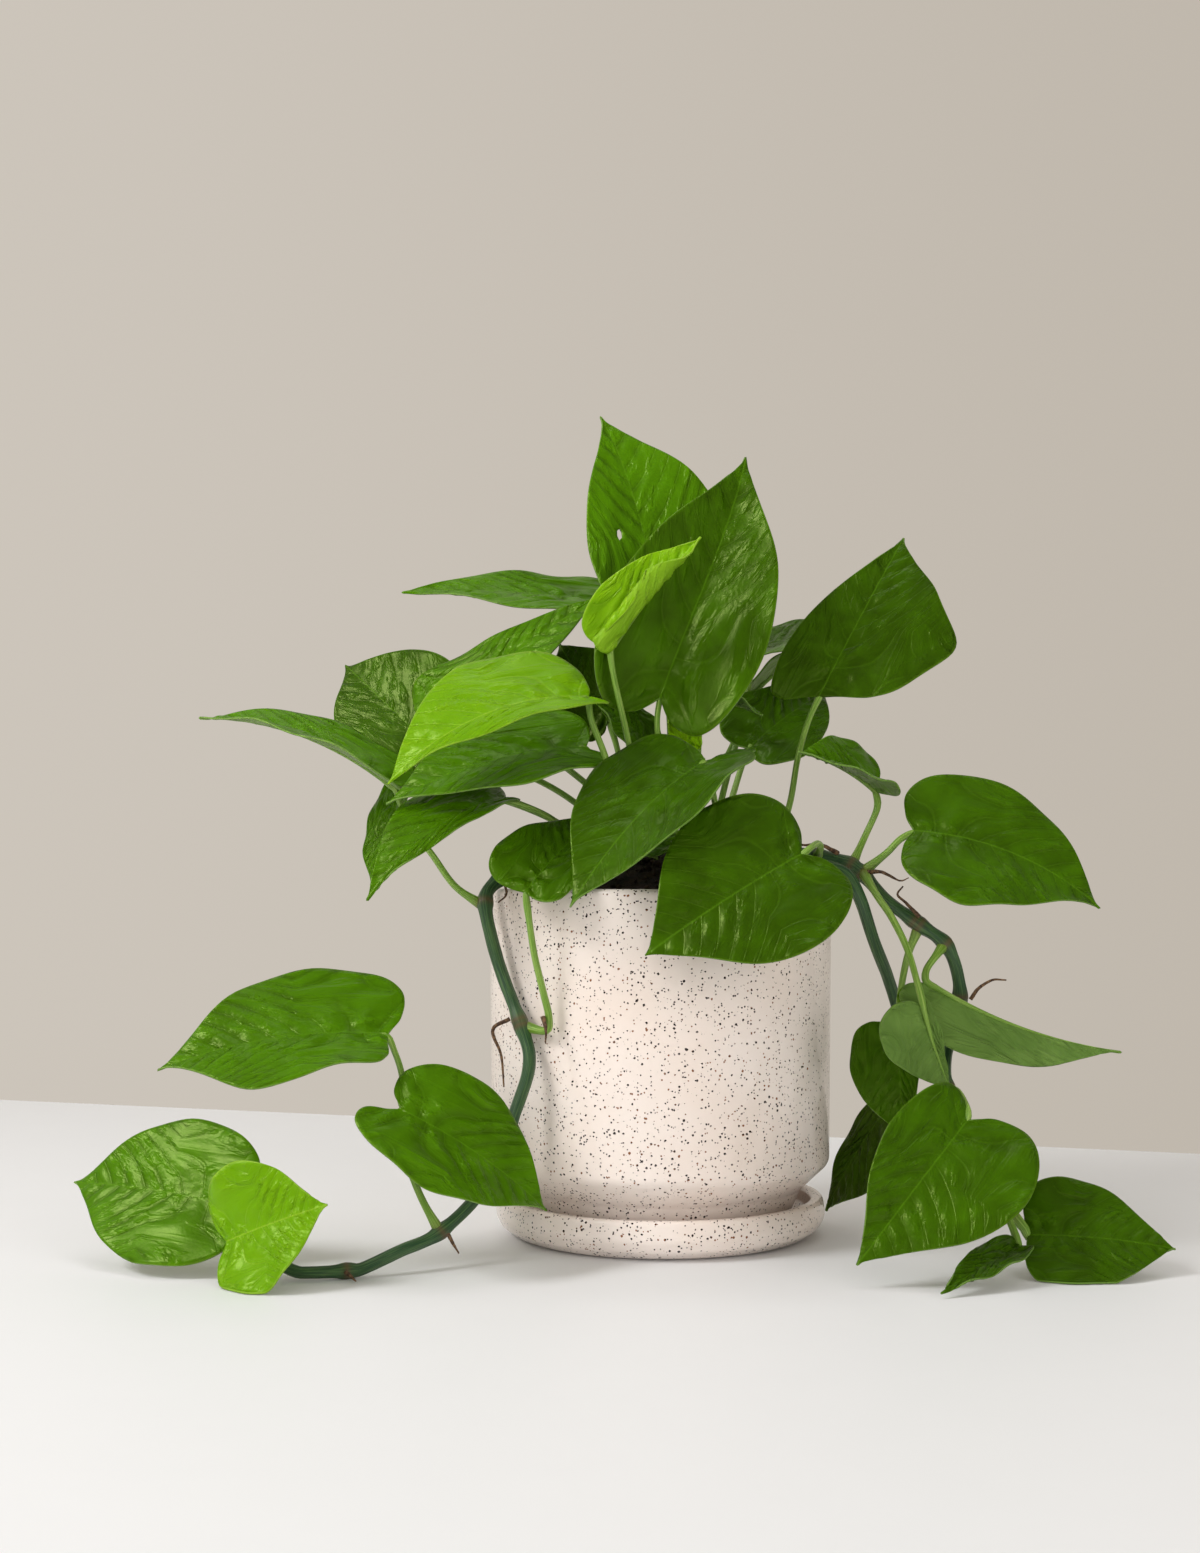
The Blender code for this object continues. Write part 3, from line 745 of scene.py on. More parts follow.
# Dry leaf sheaths left on the stems
sheathRoutes = {
    "dry_sheath_left": [(64, -31, 144), (57, -35, 147), (50, -36, 147), (45, -36, 150)],
    "dry_sheath_right": [(74, -33, 137), (79, -38, 137), (85, -40, 134), (88, -42, 135)],
    "dry_sheath_rim": [(-43, -57, 86), (-42, -60, 82), (-42, -61, 77)],
}

lift = 0.0003


def lifted(route, radius):
    return [Vector((p.x, p.y, max(p.z, radius + lift))) for p in route]


def stemRoute(points):
    points = [at(*p) for p in points]
    first = points[0]
    first.z = soilHeight(first.x, first.y) - stemShape["buried"]
    return lifted(smoothRoute(points, stemShape["spacing"]), stemShape["radius"])


stems = {name: stemRoute(points) for name, points in stemRoutes.items()}
knots = {name: [] for name in stems}  # how far along each stem its leaves and roots grow


def markKnot(place):
    found = None
    for name, route in stems.items():
        for point, along in zip(route, routeLengths(route)):
            gap = (point - place).length
            if found is None or gap < found[0]:
                found = (gap, name, along)
    knots[found[1]].append(found[2])


def nearKnot(along, places, reach):
    return max([math.exp(-(((along - k) / reach) ** 2)) for k in places] + [0.0])


def makeStem(name):
    s = stemShape
    route = stems[name]
    total = routeLengths(route)[-1]
    bm = bmesh.new()
    bm.verts.layers.float_vector.new("way")
    knotLayer = bm.verts.layers.float.new("knot")
    places = knots[name]

    def radiusAt(along, angle):
        thick = s["radius"] * (1 - (1 - s["tipShare"]) * along / total)
        ribs = 1 + s["ribDepth"] * math.cos(s["ribs"] * angle + along * 60)
        wobble = 1 + 0.04 * noise.noise(Vector((along * 150, angle, 3.1)))
        knotty = 1 + s["knotSwell"] * nearKnot(along, places, s["knotLength"])
        return thick * ribs * wobble * knotty

    sweptTube(bm, route, radiusAt, s["sides"])
    way = bm.verts.layers.float_vector["way"]
    for vert in bm.verts:
        vert[knotLayer] = nearKnot(vert[way][2], places, s["ringLength"])
    addPiece(name.replace("stem", "vine"), bm, ["stem"], [name])


def makeRoot(name, points, s, nodes):
    route = lifted(smoothRoute([at(*p) for p in points], s["spacing"]), s["radius"])
    total = routeLengths(route)[-1]
    bm = bmesh.new()
    bm.verts.layers.float_vector.new("way")

    def radiusAt(along, angle):
        thick = s["radius"] * (1 - (1 - s["tipShare"]) * along / total)
        lengthwise, across, seed = s["grain"]
        lumps = noise.noise(Vector((along * lengthwise, angle * across, seed)))
        return thick * (1 + s["rough"] * lumps)

    sweptTube(bm, route, radiusAt, s["sides"])
    addPiece(name, bm, ["root"], nodes)


bladeShape = {
    "rows": 70,
    "columns": 36,
    "thickness": 0.0006,
    "crease": 0.0013,  # how softly the halves meet at the midrib
    "quilt": 0.00068,
    "pucker": 0.00068,
    "waves": 6.5,  # how fast a margin goes up and down along the blade
    "waveStart": {"left": 0.8, "right": 2.6},
    "ripple": 0.0007,
    "ripples": 17,
}
stalkShape = {
    "radius": 0.0014,
    "topShare": 0.78,
    "ribTip": 0.00018,
    "spacing": 0.0015,
    "sides": 14,
    "ribSteps": 20,
    "ribReach": 0.96,
    "ribSunk": 0.00005,
    "intoSoil": 0.003,
    "taper": 1.4,
    "collar": 0.22,  # the swelling under the blade
    "collarLength": 0.004,
    "sheath": 0.55,  # how much the foot widens where it clasps the stem
    "sheathLength": 0.006,
    "footBrown": 0.9,
    "brownLength": 0.003,
    "groove": 0.16,
    "groovePlace": (0.6, 0.55),  # the angle of its middle, and how wide it is
}

# Half of a heart-shaped blade: along the midrib and across it, for a blade 1 long and 1 wide
bladeEdge = [
    (0.0, 0.0),
    (-0.09, 0.13),
    (-0.08, 0.31),
    (0.08, 0.45),
    (0.34, 0.50),
    (0.61, 0.38),
    (0.83, 0.15),
    (0.945, 0.034),
    (1.0, 0.0),
]


def bladeFrame(base, tip, faces):
    along = tip - base
    length = along.length
    along.normalize()
    faces = Vector(faces)
    out = (faces - along * faces.dot(along)).normalized()
    return base, length, along, out.cross(along), out


def arcPlace(length, angle, share, off):
    if abs(angle) < 1e-4:
        return share * length, off
    radius = length / (2 * math.sin(angle / 2))
    turn = (share - 0.5) * angle
    return (
        (radius + off) * math.sin(turn) + length / 2,
        (radius + off) * math.cos(turn) - radius * math.cos(angle / 2),
    )


def curled(reach, half, curl, start):
    # a margin rolled up over the blade, by an angle, from a share of the half width on
    flat = start * half
    if curl == 0 or reach <= flat:
        return reach, 0.0
    radius = (half - flat) / curl
    turn = (reach - flat) / radius
    return flat + radius * math.sin(turn), radius * (1 - math.cos(turn))


def bladePoint(place, form, u, v):
    base, length, along, across, out = place
    width = form["width"]
    hand = "left" if v > 0 else "right"
    half = width * form[hand]
    reach, up = curled(abs(v) * half, 0.5 * half, *form["curlLeft" if v > 0 else "curlRight"])
    crease = bladeShape["crease"]
    soft = math.sqrt(reach * reach + crease * crease) - crease
    side = math.copysign(reach * math.cos(form["fold"]) - up * math.sin(form["fold"]), v)
    rise = soft * math.sin(form["fold"]) + up * math.cos(form["fold"])
    outer = (2 * v) ** 2 * width
    rise += form["cup"] * outer
    rise += form["wave"] * outer * math.sin(bladeShape["waves"] * u + bladeShape["waveStart"][hand])
    u += 2 * v * form["lean"] + 2 * abs(v) * form["belly"]
    x, y = arcPlace(length, form["hook"], u, side)
    # 6.75 makes the bow as high as the swerve where it is highest
    y += form["swerve"] * length * 6.75 * max(0.0, u) ** 2 * (1 - min(1.0, u))
    x, z = arcPlace(length, form["bend"], x / length, rise)
    return base + along * x + across * y + out * z


def veinPlace(u, v):
    # the same veins as in the material
    away = abs(v)
    lead = veins["slope"] * away + veins["curve"] * away * away
    turn = max(-veins["fan"], min(1.0, u * veins["gather"] - veins["fan"]))
    return (u - lead * turn) * veins["perSide"] + (0.5 if v > 0 else 0.0)


def relief(u, v, edge, seed, quilt):
    # puffs between the veins, and blisters that follow them
    s = bladeShape
    phase = veinPlace(u, v)
    puff = math.cos(2 * math.pi * phase)
    uneven = noise.noise(Vector((phase * 0.9, abs(v) * 6, seed)))
    blister = noise.noise(Vector((phase * 2.1, abs(v) * 11, seed + 5)))
    blister += 0.5 * noise.noise(Vector((phase * 4.3, abs(v) * 24, seed + 9)))
    inside = min(1.0, abs(v) * 16) * (1 - edge**5)
    push = s["quilt"] * puff * (0.65 + 0.9 * uneven) + s["pucker"] * (0.8 * blister + 0.5 * uneven)
    return quilt * push * inside


def edgeCurve(lobe, bulge):
    points = [Vector((u * lobe if u < 0 else u, v)) for u, v in bladeEdge]
    steps = len(points) - 1
    curve = []
    for row in range(bladeShape["rows"] + 1):
        point = splineAt(points, steps * row / bladeShape["rows"])
        if bulge:
            middle, amount, spread = bulge
            point.y *= 1 + amount * math.exp(-(((point.x - middle) / spread) ** 2))
        curve.append(point)
    return curve


def openHole(bm, layer, hole):
    # a small tear: the middle, then half its size along the blade and across it
    u0, v0, along, across = hole

    def off(vert):
        return math.hypot((vert[layer].x - u0) / along, (vert[layer].y - v0) / across)

    gone = [face for face in bm.faces if sum(off(vert) for vert in face.verts) / 4 < 1]
    bmesh.ops.delete(bm, geom=gone, context="FACES")
    rim = [vert for vert in bm.verts if vert.is_boundary and off(vert) < 2.5]
    for _ in range(4):
        bmesh.ops.smooth_vert(
            bm, verts=rim, factor=0.5, use_axis_x=True, use_axis_y=True, use_axis_z=True
        )


def makeBlade(name, place, form, seed, looks):
    s = bladeShape
    bm = bmesh.new()
    placeLayer = bm.verts.layers.float_vector.new("bladePlace")
    edgeLayer = bm.verts.layers.float.new("bladeEdge")
    toneLayer = bm.verts.layers.float.new("bladeTone")
    bmesh.ops.create_grid(bm, x_segments=s["rows"], y_segments=s["columns"], size=0.5)
    curves = {}
    for side in ("Left", "Right"):
        curves[side] = edgeCurve(form["lobe" + side], form["bulge" + side])
    lowest = s["thickness"] / 2 + lift
    for vert in bm.verts:
        row = round((vert.co.x + 0.5) * s["rows"])
        column = vert.co.y * 2
        ribU = row / s["rows"]
        curve = curves["Left" if column > 0 else "Right"]
        u = ribU + (curve[row].x - ribU) * abs(column)
        v = max(curve[row].y, 0.0) * column
        vert.co = bladePoint(place, form, u, v)
        vert[placeLayer] = (u, v, seed)
        vert[edgeLayer] = abs(column)
        vert[toneLayer] = form["tone"]
    bmesh.ops.remove_doubles(bm, verts=bm.verts, dist=1e-6)
    bm.normal_update()
    for vert in bm.verts:
        u, v, _ = vert[placeLayer]
        edge = vert[edgeLayer]
        push = relief(u, v, edge, seed, form["quilt"])
        turn = s["ripples"] * u + seed * 2 + (1.7 if v > 0 else 0)
        push += s["ripple"] * edge**5 * math.sin(turn)
        vert.co += vert.normal * push
        vert.co.z = max(vert.co.z, lowest)
    if form["hole"]:
        openHole(bm, placeLayer, form["hole"])
    piece = addPiece(name.replace("leaf", "blade"), bm, looks, [name])
    shell = piece.modifiers.new("thickness", "SOLIDIFY")
    shell.thickness = s["thickness"]
    shell.offset = 0.0
    shell.material_offset = 1
    shell.material_offset_rim = 1
    return piece


def midribFace(place, form, u):
    ahead = bladePoint(place, form, u + 0.01, 0.0) - bladePoint(place, form, u - 0.01, 0.0)
    across = bladePoint(place, form, u, 0.01) - bladePoint(place, form, u, -0.01)
    return ahead.cross(across).normalized()


def ribRadius(share):
    s = stalkShape
    top = s["radius"] * s["topShare"]
    return s["ribTip"] + (top - s["ribTip"]) * share ** s["taper"]


def stalkRoute(place, form, stalk):
    # under the blade along its midrib, from near the tip to the base, then down the stalk
    s = stalkShape
    top = s["radius"] * s["topShare"]
    rib = []
    for k in range(s["ribSteps"]):
        share = k / s["ribSteps"]
        u = s["ribReach"] * (1 - share)
        drop = max(0.0, ribRadius(share) - s["ribSunk"])
        rib.append(bladePoint(place, form, u, 0.0) - midribFace(place, form, u) * drop)
    under = midribFace(place, form, 0.0)
    points = [rib[-2], rib[-1], bladePoint(place, form, 0.0, 0.0) - under * top]
    points += [at(*p) for p in stalk if len(p) == 3]
    foot = stalk[-1]
    if len(foot) == 2:
        ground = at(*foot, 0.0)
        points.append(Vector((ground.x, ground.y, soilHeight(ground.x, ground.y) - s["intoSoil"])))
    else:
        markKnot(points[-1])
    return rib[:-2] + smoothRoute(points, s["spacing"])


def makeStalk(name, place, form, stalk):
    s = stalkShape
    top = s["radius"] * s["topShare"]
    route = stalkRoute(place, form, stalk)
    lengths = routeLengths(route)
    ribLength = lengths[s["ribSteps"]]
    total = lengths[-1]
    radii = []
    for along in lengths:
        if along < ribLength:
            radii.append(ribRadius(along / ribLength))
            continue
        past = along - ribLength
        thick = top + (s["radius"] - top) * past / (total - ribLength)
        collar = (past - s["collarLength"]) / s["collarLength"]
        thick *= 1 + s["collar"] * math.exp(-(collar**2))
        thick *= 1 + s["sheath"] * math.exp(-(((along - total) / s["sheathLength"]) ** 2))
        radii.append(thick)
    bm = bmesh.new()
    bm.verts.layers.float_vector.new("way")
    knotLayer = bm.verts.layers.float.new("knot")

    def radiusAt(along, angle):
        i = min(range(len(lengths)), key=lambda k: abs(lengths[k] - along))
        middle, wide = s["groovePlace"]
        grooved = 1 - s["groove"] * math.exp(-(((angle - middle) / wide) ** 2)) * (along > ribLength)
        return radii[i] * grooved

    sweptTube(bm, lifted(route, s["radius"] * 0.9), radiusAt, s["sides"])
    way = bm.verts.layers.float_vector["way"]
    for vert in bm.verts:
        fromFoot = (vert[way][2] - total) / s["brownLength"]
        vert[knotLayer] = s["footBrown"] * math.exp(-(fromFoot**2))
    addPiece(name.replace("leaf", "stalk"), bm, ["stalk"], [])


plainLeaf = {
    "fold": 12,  # degrees between a half and flat; bend and hook are angles too
    "bend": 25,  # how much the midrib arches
    "hook": 0,  # how much it curves sideways
    "swerve": 0.0,  # how far it bows sideways, two thirds along
    "cup": -0.03,  # how far the margins rise
    "wave": 0.028,
    "lean": 0.0,  # pushes one half towards the tip and the other back
    "belly": 0.0,  # pushes both halves towards the tip
    "left": 1.0,  # width of each half
    "right": 1.0,
    "lobe": 1.0,  # how far the base reaches back past the stalk
    "bulgeLeft": None,  # where along the blade, how much, how wide
    "bulgeRight": None,
    "curlLeft": (0, 0),  # angle in radians, and where it starts
    "curlRight": (0, 0),
    "hole": None,
    "quilt": 1.0,
    "tone": 0.5,  # from 0, dark, to 1, light: partly the leaf's age and partly painted light and shade for where the leaf sits
    "young": False,
}
leafNames = []
seedStep = 1.37


def leaf(name, base, tip, faces, width, stalk, **bends):
    leafNames.append(name)
    seed = len(leafNames) * seedStep
    form = {**plainLeaf, **bends, "width": width * mm}
    for angle in ("fold", "bend", "hook"):
        form[angle] = math.radians(form[angle])
    for side in ("Left", "Right"):
        form.setdefault("lobe" + side, form["lobe"])
    place = bladeFrame(at(*base), at(*tip), faces)
    looks = ["lime", "limeUnder"] if form["young"] else ["leaf", "leafUnder"]
    makeBlade(name, place, form, seed, looks)
    makeStalk(name, place, form, stalk)


def makeLeaves():
    # Crown, from the back to the front. Each stalk goes down into the soil.
    leaf("leaf_top_back", (2, 12, 234), (-23, 30, 319), (0.25, -0.95, 0.15), 60,
         [(4, 9, 195), (5, 9, 160), (5, 10)],
         fold=14, bend=22, left=0.85, right=1.15, swerve=-0.02, wave=0.035,
         hole=(0.42, 0.2, 0.03, 0.02), tone=0.85)
    leaf("leaf_left_high", (-21, 30, 245), (-100, 10, 246), (0.0, -0.5, 0.86), 44,
         [(-14, 26, 223), (-6, 18, 185), (-5, 16)],
         fold=10, bend=12, belly=-0.12, lobe=0.4, tone=0.85)
    leaf("leaf_back_right_high", (38, 32, 224), (80, 46, 240), (0.0, -0.25, 0.95), 40,
         [(34, 27, 200), (24, 20, 162), (21, 17)], bend=20)
    leaf("leaf_back_right_mid", (38, 42, 210), (76, 60, 234), (0.2, 0.35, 0.9), 34,
         [(31, 36, 190), (15, 26, 158), (12, 23)], fold=15)
    leaf("leaf_right_back", (34, 6, 185), (69, 44, 211), (0.1, -0.8, 0.6), 38,
         [(29, 3, 170), (25, 2, 155), (24, 2)], bend=20, lobe=0.6, tone=0.25)
    leaf("leaf_left_back", (-79, -3, 200), (-22, 0, 243), (-0.3, -0.75, 0.6), 44,
         [(-66, 0, 197), (-42, 4, 182), (-17, 7, 160), (-12, 7)],
         fold=10, bend=20, belly=-0.12, left=0.75, bulgeLeft=(0.08, 0.45, 0.2), tone=0.8)
    leaf("leaf_left_round", (-86, 6, 183), (-126, 39, 221), (-0.2, -0.9, 0.4), 60,
         [(-71, 8, 180), (-45, 13, 172), (-24, 12, 156), (-20, 12)],
         fold=10, bend=20, belly=0.08, left=0.85, lobe=0.5, quilt=0.55, tone=0.22)
    leaf("leaf_left_narrow", (-98, -12, 169), (-107, -24, 129), (-0.6, -0.6, 0.4), 22,
         [(-90, -9, 170), (-64, -2, 166), (-36, 2, 154), (-27, 2)], bend=20, tone=0.6)
    leaf("leaf_core_dark", (-20, -5, 195), (-39, 10, 226), (-0.5, -0.6, 0.6), 34,
         [(-16, -5, 182), (-12, -3, 160), (-12, -2)], tone=0.05)
    leaf("leaf_core_grey", (17, -2, 203), (38, -12, 196), (-0.1, 0.2, 0.97), 22,
         [(15, 0, 190), (14, 1, 162), (14, 1)], fold=18, bend=30)
    leaf("leaf_core_low", (-4, -12, 184), (-24, -20, 200), (-0.3, -0.6, 0.7), 24,
         [(-2, -9, 172), (-2, -6, 156), (-2, -5)], fold=15, tone=0.4)
    # leaf_core_lime sits in shade under leaf_top_front; its tone of 1 is painted light
    leaf("leaf_core_lime", (11, -15, 184), (2, -19, 201), (-0.1, -0.95, 0.3), 12,
         [(11, -12, 170), (10, -9, 156), (10, -8)], fold=25, bend=20, young=True, tone=1)
    leaf("leaf_right_high", (59, -15, 203), (94, 5, 266), (-0.1, -0.97, 0.15), 50,
         [(55, -15, 194), (51, -15, 180), (48, -15, 163), (43, -13, 146), (40, -12)],
         bend=22, left=0.8, right=1.15, lobe=0.0, lean=-0.16,
         bulgeRight=(0.30, 0.32, 0.2), wave=0.04, tone=0.12)
    leaf("leaf_top_front", (-1, -28, 201), (32, -10, 294), (0.1, -0.95, 0.35), 67,
         [(-2, -27, 190), (1, -22, 172), (5, -15, 154), (5, -14)],
         fold=27, bend=16, belly=-0.04, lobe=0.8, swerve=-0.02, tone=0.28)
    leaf("leaf_young_rolled", (-20, -42, 217), (13, -50, 256), (-0.45, -0.75, 0.5), 34,
         [(-18, -41, 207), (-14, -36, 190), (-9, -27, 168), (-4, -17, 152), (-3, -15)],
         fold=34, bend=12, lobe=0.2, young=True,
         curlRight=(3.0, 0.1), curlLeft=(0.5, 0.3), tone=0.8)
    leaf("leaf_lime", (-27, -49, 199), (-96, -72, 167), (-0.15, -0.62, 0.77), 52,
         [(-26, -48, 191), (-21, -45, 178), (-15, -34, 160), (-11, -22, 148), (-10, -20)],
         fold=14, bend=60, left=0.5, right=1.15, lobe=0.5, young=True, tone=0.3)
    leaf("leaf_under_lime", (-28, -30, 183), (-99, -50, 161), (0.0, -0.62, 0.78), 50,
         [(-24, -28, 175), (-20, -24, 160), (-18, -21, 148), (-18, -20)],
         bend=34, left=0.85, lobe=0.5, tone=0.75)
    leaf("leaf_left_droop", (-57, -36, 164), (-104, -66, 127), (-0.35, -0.75, 0.55), 40,
         [(-50, -34, 161), (-40, -31, 156), (-31, -26, 147), (-27, -22)],
         bend=55, left=0.35, lobe=0.5, tone=0.62)
    leaf("leaf_front_left", (15, -42, 177), (-33, -88, 125), (-0.25, -0.75, 0.6), 55,
         [(17, -38, 170), (20, -31, 158), (24, -22, 148), (25, -20)],
         fold=14, bend=36, lobe=0.4, lobeLeft=2.5,
         bulgeLeft=(-0.2, -0.4, 0.14), curlLeft=(0.6, 0.3), tone=0.22)
    leaf("leaf_soil", (16, -21, 148), (-19, -46, 140), (-0.2, -0.5, 0.85), 16,
         [(18, -18, 146), (19, -15)], fold=14, bend=20)

    # Over the rim and on the trailing stems. Each stalk ends in its stem.
    leaf("leaf_left_far", (-97, -30, 168), (-171, -25, 194), (-0.2, -0.17, 0.96), 46,
         [(-96, -30, 162), (-92, -30, 154), (-84, -30, 143), (-76, -30, 132), (-66, -29, 125)],
         fold=18, bend=40, lobe=0.3, tone=0.95)
    leaf("leaf_rim_left", (-49, -62, 130), (-23, -36, 157), (-0.3, -0.85, 0.4), 40,
         [(-48, -61, 122), (-46, -59, 108), (-43, -57, 95), (-41, -56, 86), (-42, -54, 81),
         (-50, -47, 82)],
         right=0.8, lobe=0.3, tone=0.35)
    leaf("leaf_front_right", (46, -72, 143), (-8, -92, 109), (-0.2, -0.95, 0.25), 64,
         [(49, -70, 145), (53, -58, 147), (56, -44, 146), (57, -26, 143)],
         fold=10, bend=24, tone=0.18)
    leaf("leaf_right_small", (80, -20, 168), (48, -44, 180), (0.1, -0.6, 0.78), 32,
         [(80, -20, 161), (75, -22, 150), (69, -29, 139)], fold=34, bend=20, lobe=0.3)
    leaf("leaf_right_wide", (91, -35, 152), (156, -45, 124), (0.15, -0.8, 0.58), 58,
         [(86, -36, 149), (81, -36, 144), (73, -31, 137)],
         bend=30, hook=26, left=0.95, right=1.15, lobe=0.5, tone=0.3)
    leaf("leaf_right_out", (93, -46, 97), (163, -48, 73), (0.0, -0.05, -0.97), 37,
         [(94, -44, 102), (98, -41, 107), (102, -36, 111)], fold=72, lobe=0.8)
    leaf("leaf_right_down", (90, -56, 90), (100, -60, 60), (-0.4, 0.85, -0.3), 38,
         [(89, -54, 98), (86, -50, 110), (81, -47, 121), (77, -42, 128), (73, -32, 137)],
         bend=18, right=0.25)
    leaf("leaf_right_mid", (87, -26, 81), (88, -38, 39), (-0.5, -0.85, 0.2), 38,
         [(87, -28, 90), (89, -33, 106), (93, -36, 118)], bend=24, left=0.4, lobe=0.3, tone=0.3)
    leaf("leaf_right_low", (89, 3, 49), (66, 20, 4), (-0.6, -0.75, 0.3), 34,
         [(90, 2, 53), (90, -2, 62)], bend=24, left=1.1, right=0.5, lobe=0.4, tone=0.12)
    leaf("leaf_right_heart", (102, -76, 52), (61, -101, 8), (0.1, -0.85, 0.5), 52,
         [(103, -73, 55), (102, -62, 60), (101, -48, 60)],
         fold=14, bend=26, belly=-0.04, left=1.25, right=0.78, tone=0.28)
    leaf("leaf_table_right", (123, -76, 13), (172, -80, 9), (0.15, -0.75, 0.65), 44,
         [(122, -75, 15), (118, -72, 20)], fold=10, bend=22, lobe=0.2, tone=0.22)
    leaf("leaf_table_small", (118, -86, 11), (86, -115, 2), (0.2, -0.3, 0.93), 15,
         [(117, -82, 15), (115, -76, 22), (114, -66, 31)], fold=26, bend=8, lobe=0.4, tone=0.25)
    leaf("leaf_trail_upper", (-96, -70, 81), (-172, -84, 70), (-0.1, -0.62, 0.78), 52,
         [(-94, -70, 76), (-91, -71, 67), (-90, -71, 54), (-90, -71, 41), (-85, -70, 26),
         (-78, -70, 13)],
         bend=20, hook=-18, left=0.8, right=1.2, lobe=0.6, lobeLeft=0.0,
         bulgeLeft=(0.72, 0.7, 0.25), quilt=1.4, tone=0.68)
    leaf("leaf_trail_front", (-90, -85, 57), (-41, -80, 22), (0.3, -0.75, 0.6), 47,
         [(-87, -81, 54), (-76, -72, 50), (-64, -64, 47), (-54, -57, 46)],
         bend=34, lobeRight=1.9, tone=0.55)
    leaf("leaf_table_left", (-150, -73, 23), (-211, -45, 26), (-0.25, -0.8, 0.55), 56,
         [(-147, -76, 20), (-138, -84, 10)], fold=10, bend=24, quilt=0.65, tone=0.75)
    leaf("leaf_table_cupped", (-147, -92, 14), (-112, -102, 28), (-0.1, -0.9, 0.4), 46,
         [(-145, -91, 11), (-135, -85, 8)], fold=8, bend=20, cup=0.05, young=True, tone=0.25)


makeLeaves()
print("leaves made:", len(leafNames))

for rootName, points in rootRoutes.items():
    markKnot(at(*points[0]))
    makeRoot("aerial_" + rootName, points, rootShape, [rootName])
for stemName in stems:
    makeStem(stemName)
for sheathName, points in sheathRoutes.items():
    makeRoot(sheathName, points, sheathShape, [])
print("stems and roots made")


studio = {
    "camera": (-0.023, -0.700, 0.1335),
    "lens": 42.42,
    "shiftY": 0.0679,
    "tableTurn": -18.6,  # degrees
    "tableEdge": (-0.0735, 0.315),  # a point of its far edge
    "tableSize": (4.0, 2.2, 0.04),
    "wallPlace": (0.0, 2.4, 0.6),
    "wallGlow": 0.94,
    "tableColour": (0.825, 0.83, 0.845),
    "wallLeft": (0.615, 0.565, 0.500),
    "wallRight": (0.525, 0.475, 0.410),
    "sky": (0.58, 0.54, 0.48),
    "skyLight": 0.74,
    "skyShine": 0.16,  # what shiny faces reflect of it
    "aim": (0.0, 0.0, 0.09),
}


def plainMaterial(name, colour, roughness):
    material, tree, shader = newMaterial(name)
    shader.inputs["Roughness"].default_value = roughness
    grain = noisy(tree, objectPlace(tree), 40.0, 2.0)
    darker = tuple(c * 0.985 for c in colour)
    feed(tree, shader.inputs["Base Color"], mixed(tree, grain, darker, colour))
    return material


def backdropMaterial():
    # paper that glows with painted light instead of being lit, with painted shade making it a little
    # darker to the right
    material, tree, shader = newMaterial("backdropPaper")
    shader.inputs["Base Color"].default_value = (0.05, 0.05, 0.05, 1.0)
    shader.inputs["Roughness"].default_value = 1.0
    shader.inputs["Specular IOR Level"].default_value = 0.0
    across = ranged(tree, split(tree, objectPlace(tree))[0], -1.4, 1.4)
    colour = mixed(tree, across, studio["wallLeft"], studio["wallRight"])
    feed(tree, shader.inputs["Emission Color"], colour)
    shader.inputs["Emission Strength"].default_value = studio["wallGlow"]
    return material


def addStage(name, bm, material):
    mesh = bpy.data.meshes.new(name)
    bm.to_mesh(mesh)
    bm.free()
    mesh.materials.append(material)
    piece = bpy.data.objects.new(name, mesh)
    bpy.context.scene.collection.objects.link(piece)
    return piece


def makeStage():
    s = studio
    turn = Matrix.Rotation(math.radians(s["tableTurn"]), 4, "Z")
    edge = Vector((*s["tableEdge"], 0.0))
    bm = bmesh.new()
    wide, deep, thick = s["tableSize"]
    stretch = Matrix.Diagonal((wide, deep, thick, 1.0))
    back = Matrix.Translation((0.0, -deep / 2, -thick / 2))
    bmesh.ops.create_cube(bm, size=1.0, matrix=Matrix.Translation(edge) @ turn @ back @ stretch)
    addStage("table", bm, plainMaterial("tableTop", s["tableColour"], 0.55))
    bm = bmesh.new()
    upright = Matrix.Translation(s["wallPlace"]) @ Matrix.Rotation(math.radians(90), 4, "X")
    bmesh.ops.create_grid(bm, x_segments=1, y_segments=1, size=4.0, matrix=upright)
    addStage("backdrop", bm, backdropMaterial())


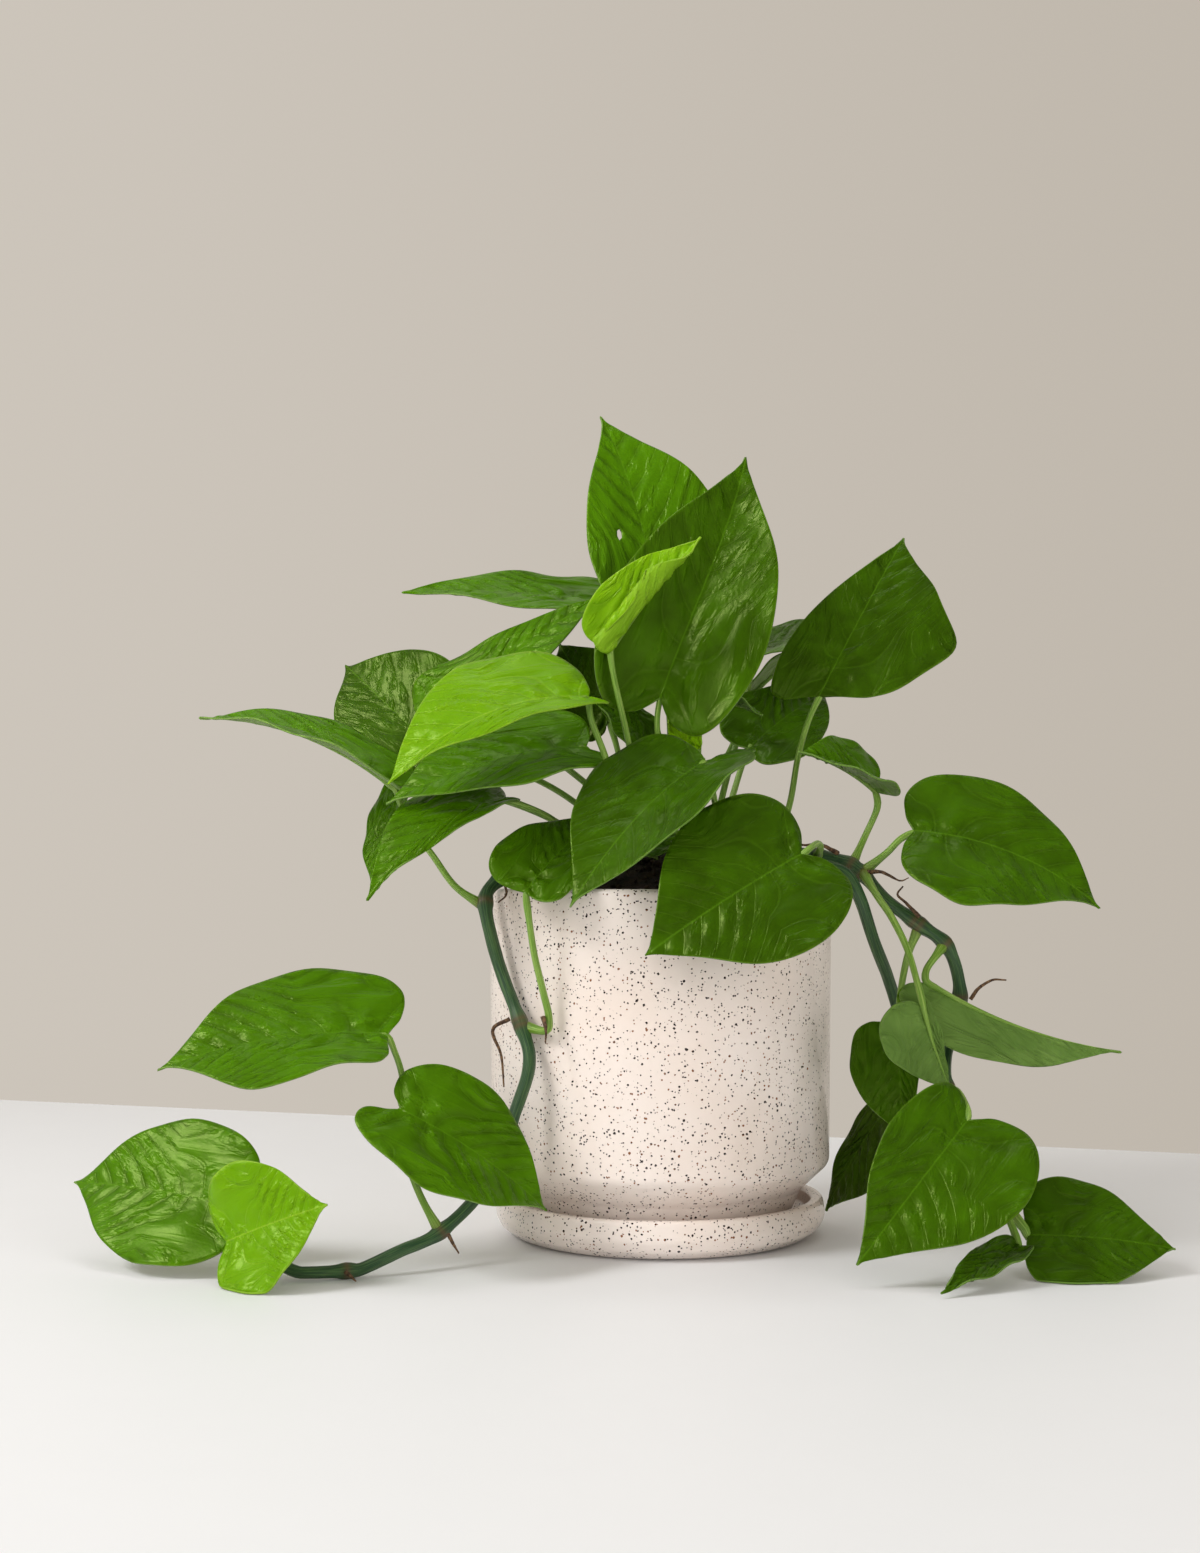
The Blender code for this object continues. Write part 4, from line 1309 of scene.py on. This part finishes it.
lights = {  # place, size, power, and whether shiny faces reflect it
    "keyLight": ((-1.05, -0.55, 1.05), 0.55, 12.5, True),
    "frontLight": ((-0.1, -1.9, 1.0), 1.8, 3.0, False),
    "rightLight": ((1.2, -1.5, 0.45), 1.4, 12.0, False),
    "leftLight": ((-1.4, -1.4, 0.4), 1.4, 8.0, False),
    "topLight": ((0.1, 0.0, 1.9), 1.6, 4.0, False),
    "skyPanel": ((-0.1, 0.25, 1.9), 0.4, 1.6, True),
}


def areaLight(name, place, size, power, reflected):
    data = bpy.data.lights.new(name, "AREA")
    data.shape = "DISK"
    data.size = size
    data.energy = power
    light = bpy.data.objects.new(name, data)
    light.location = place
    light.visible_glossy = reflected
    aim = Vector(studio["aim"]) - Vector(place)
    light.rotation_euler = aim.to_track_quat("-Z", "Y").to_euler()
    bpy.context.scene.collection.objects.link(light)


def mixedValue(tree, share, low, high):
    node = tree.nodes.new("ShaderNodeMix")
    for name, value in (("Factor", share), ("A", low), ("B", high)):
        if isinstance(value, float):
            node.inputs[name].default_value = value
        else:
            feed(tree, node.inputs[name], value)
    return node.outputs[0]


def makeLight():
    for name, setting in lights.items():
        areaLight(name, *setting)
    world = bpy.data.worlds.new("softSky")
    world.use_nodes = True
    tree = world.node_tree
    background = tree.nodes["Background"]
    background.inputs["Color"].default_value = (*studio["sky"], 1.0)
    path = tree.nodes.new("ShaderNodeLightPath").outputs
    light = mixedValue(tree, path["Is Glossy Ray"], studio["skyLight"], studio["skyShine"])
    feed(tree, background.inputs["Strength"], mixedValue(tree, path["Is Camera Ray"], light, 1.0))
    bpy.context.scene.world = world


def makeCamera():
    data = bpy.data.cameras.new("camera")
    data.lens = studio["lens"]
    data.sensor_width = 36.0
    data.shift_y = studio["shiftY"]
    data.clip_start = 0.01
    camera = bpy.data.objects.new("camera", data)
    camera.location = studio["camera"]
    camera.rotation_euler = (math.radians(90), 0.0, 0.0)
    bpy.context.scene.collection.objects.link(camera)
    bpy.context.scene.camera = camera


makeStage()
makeLight()
makeCamera()
bpy.context.scene.view_settings.view_transform = "Standard"
print("studio ready")
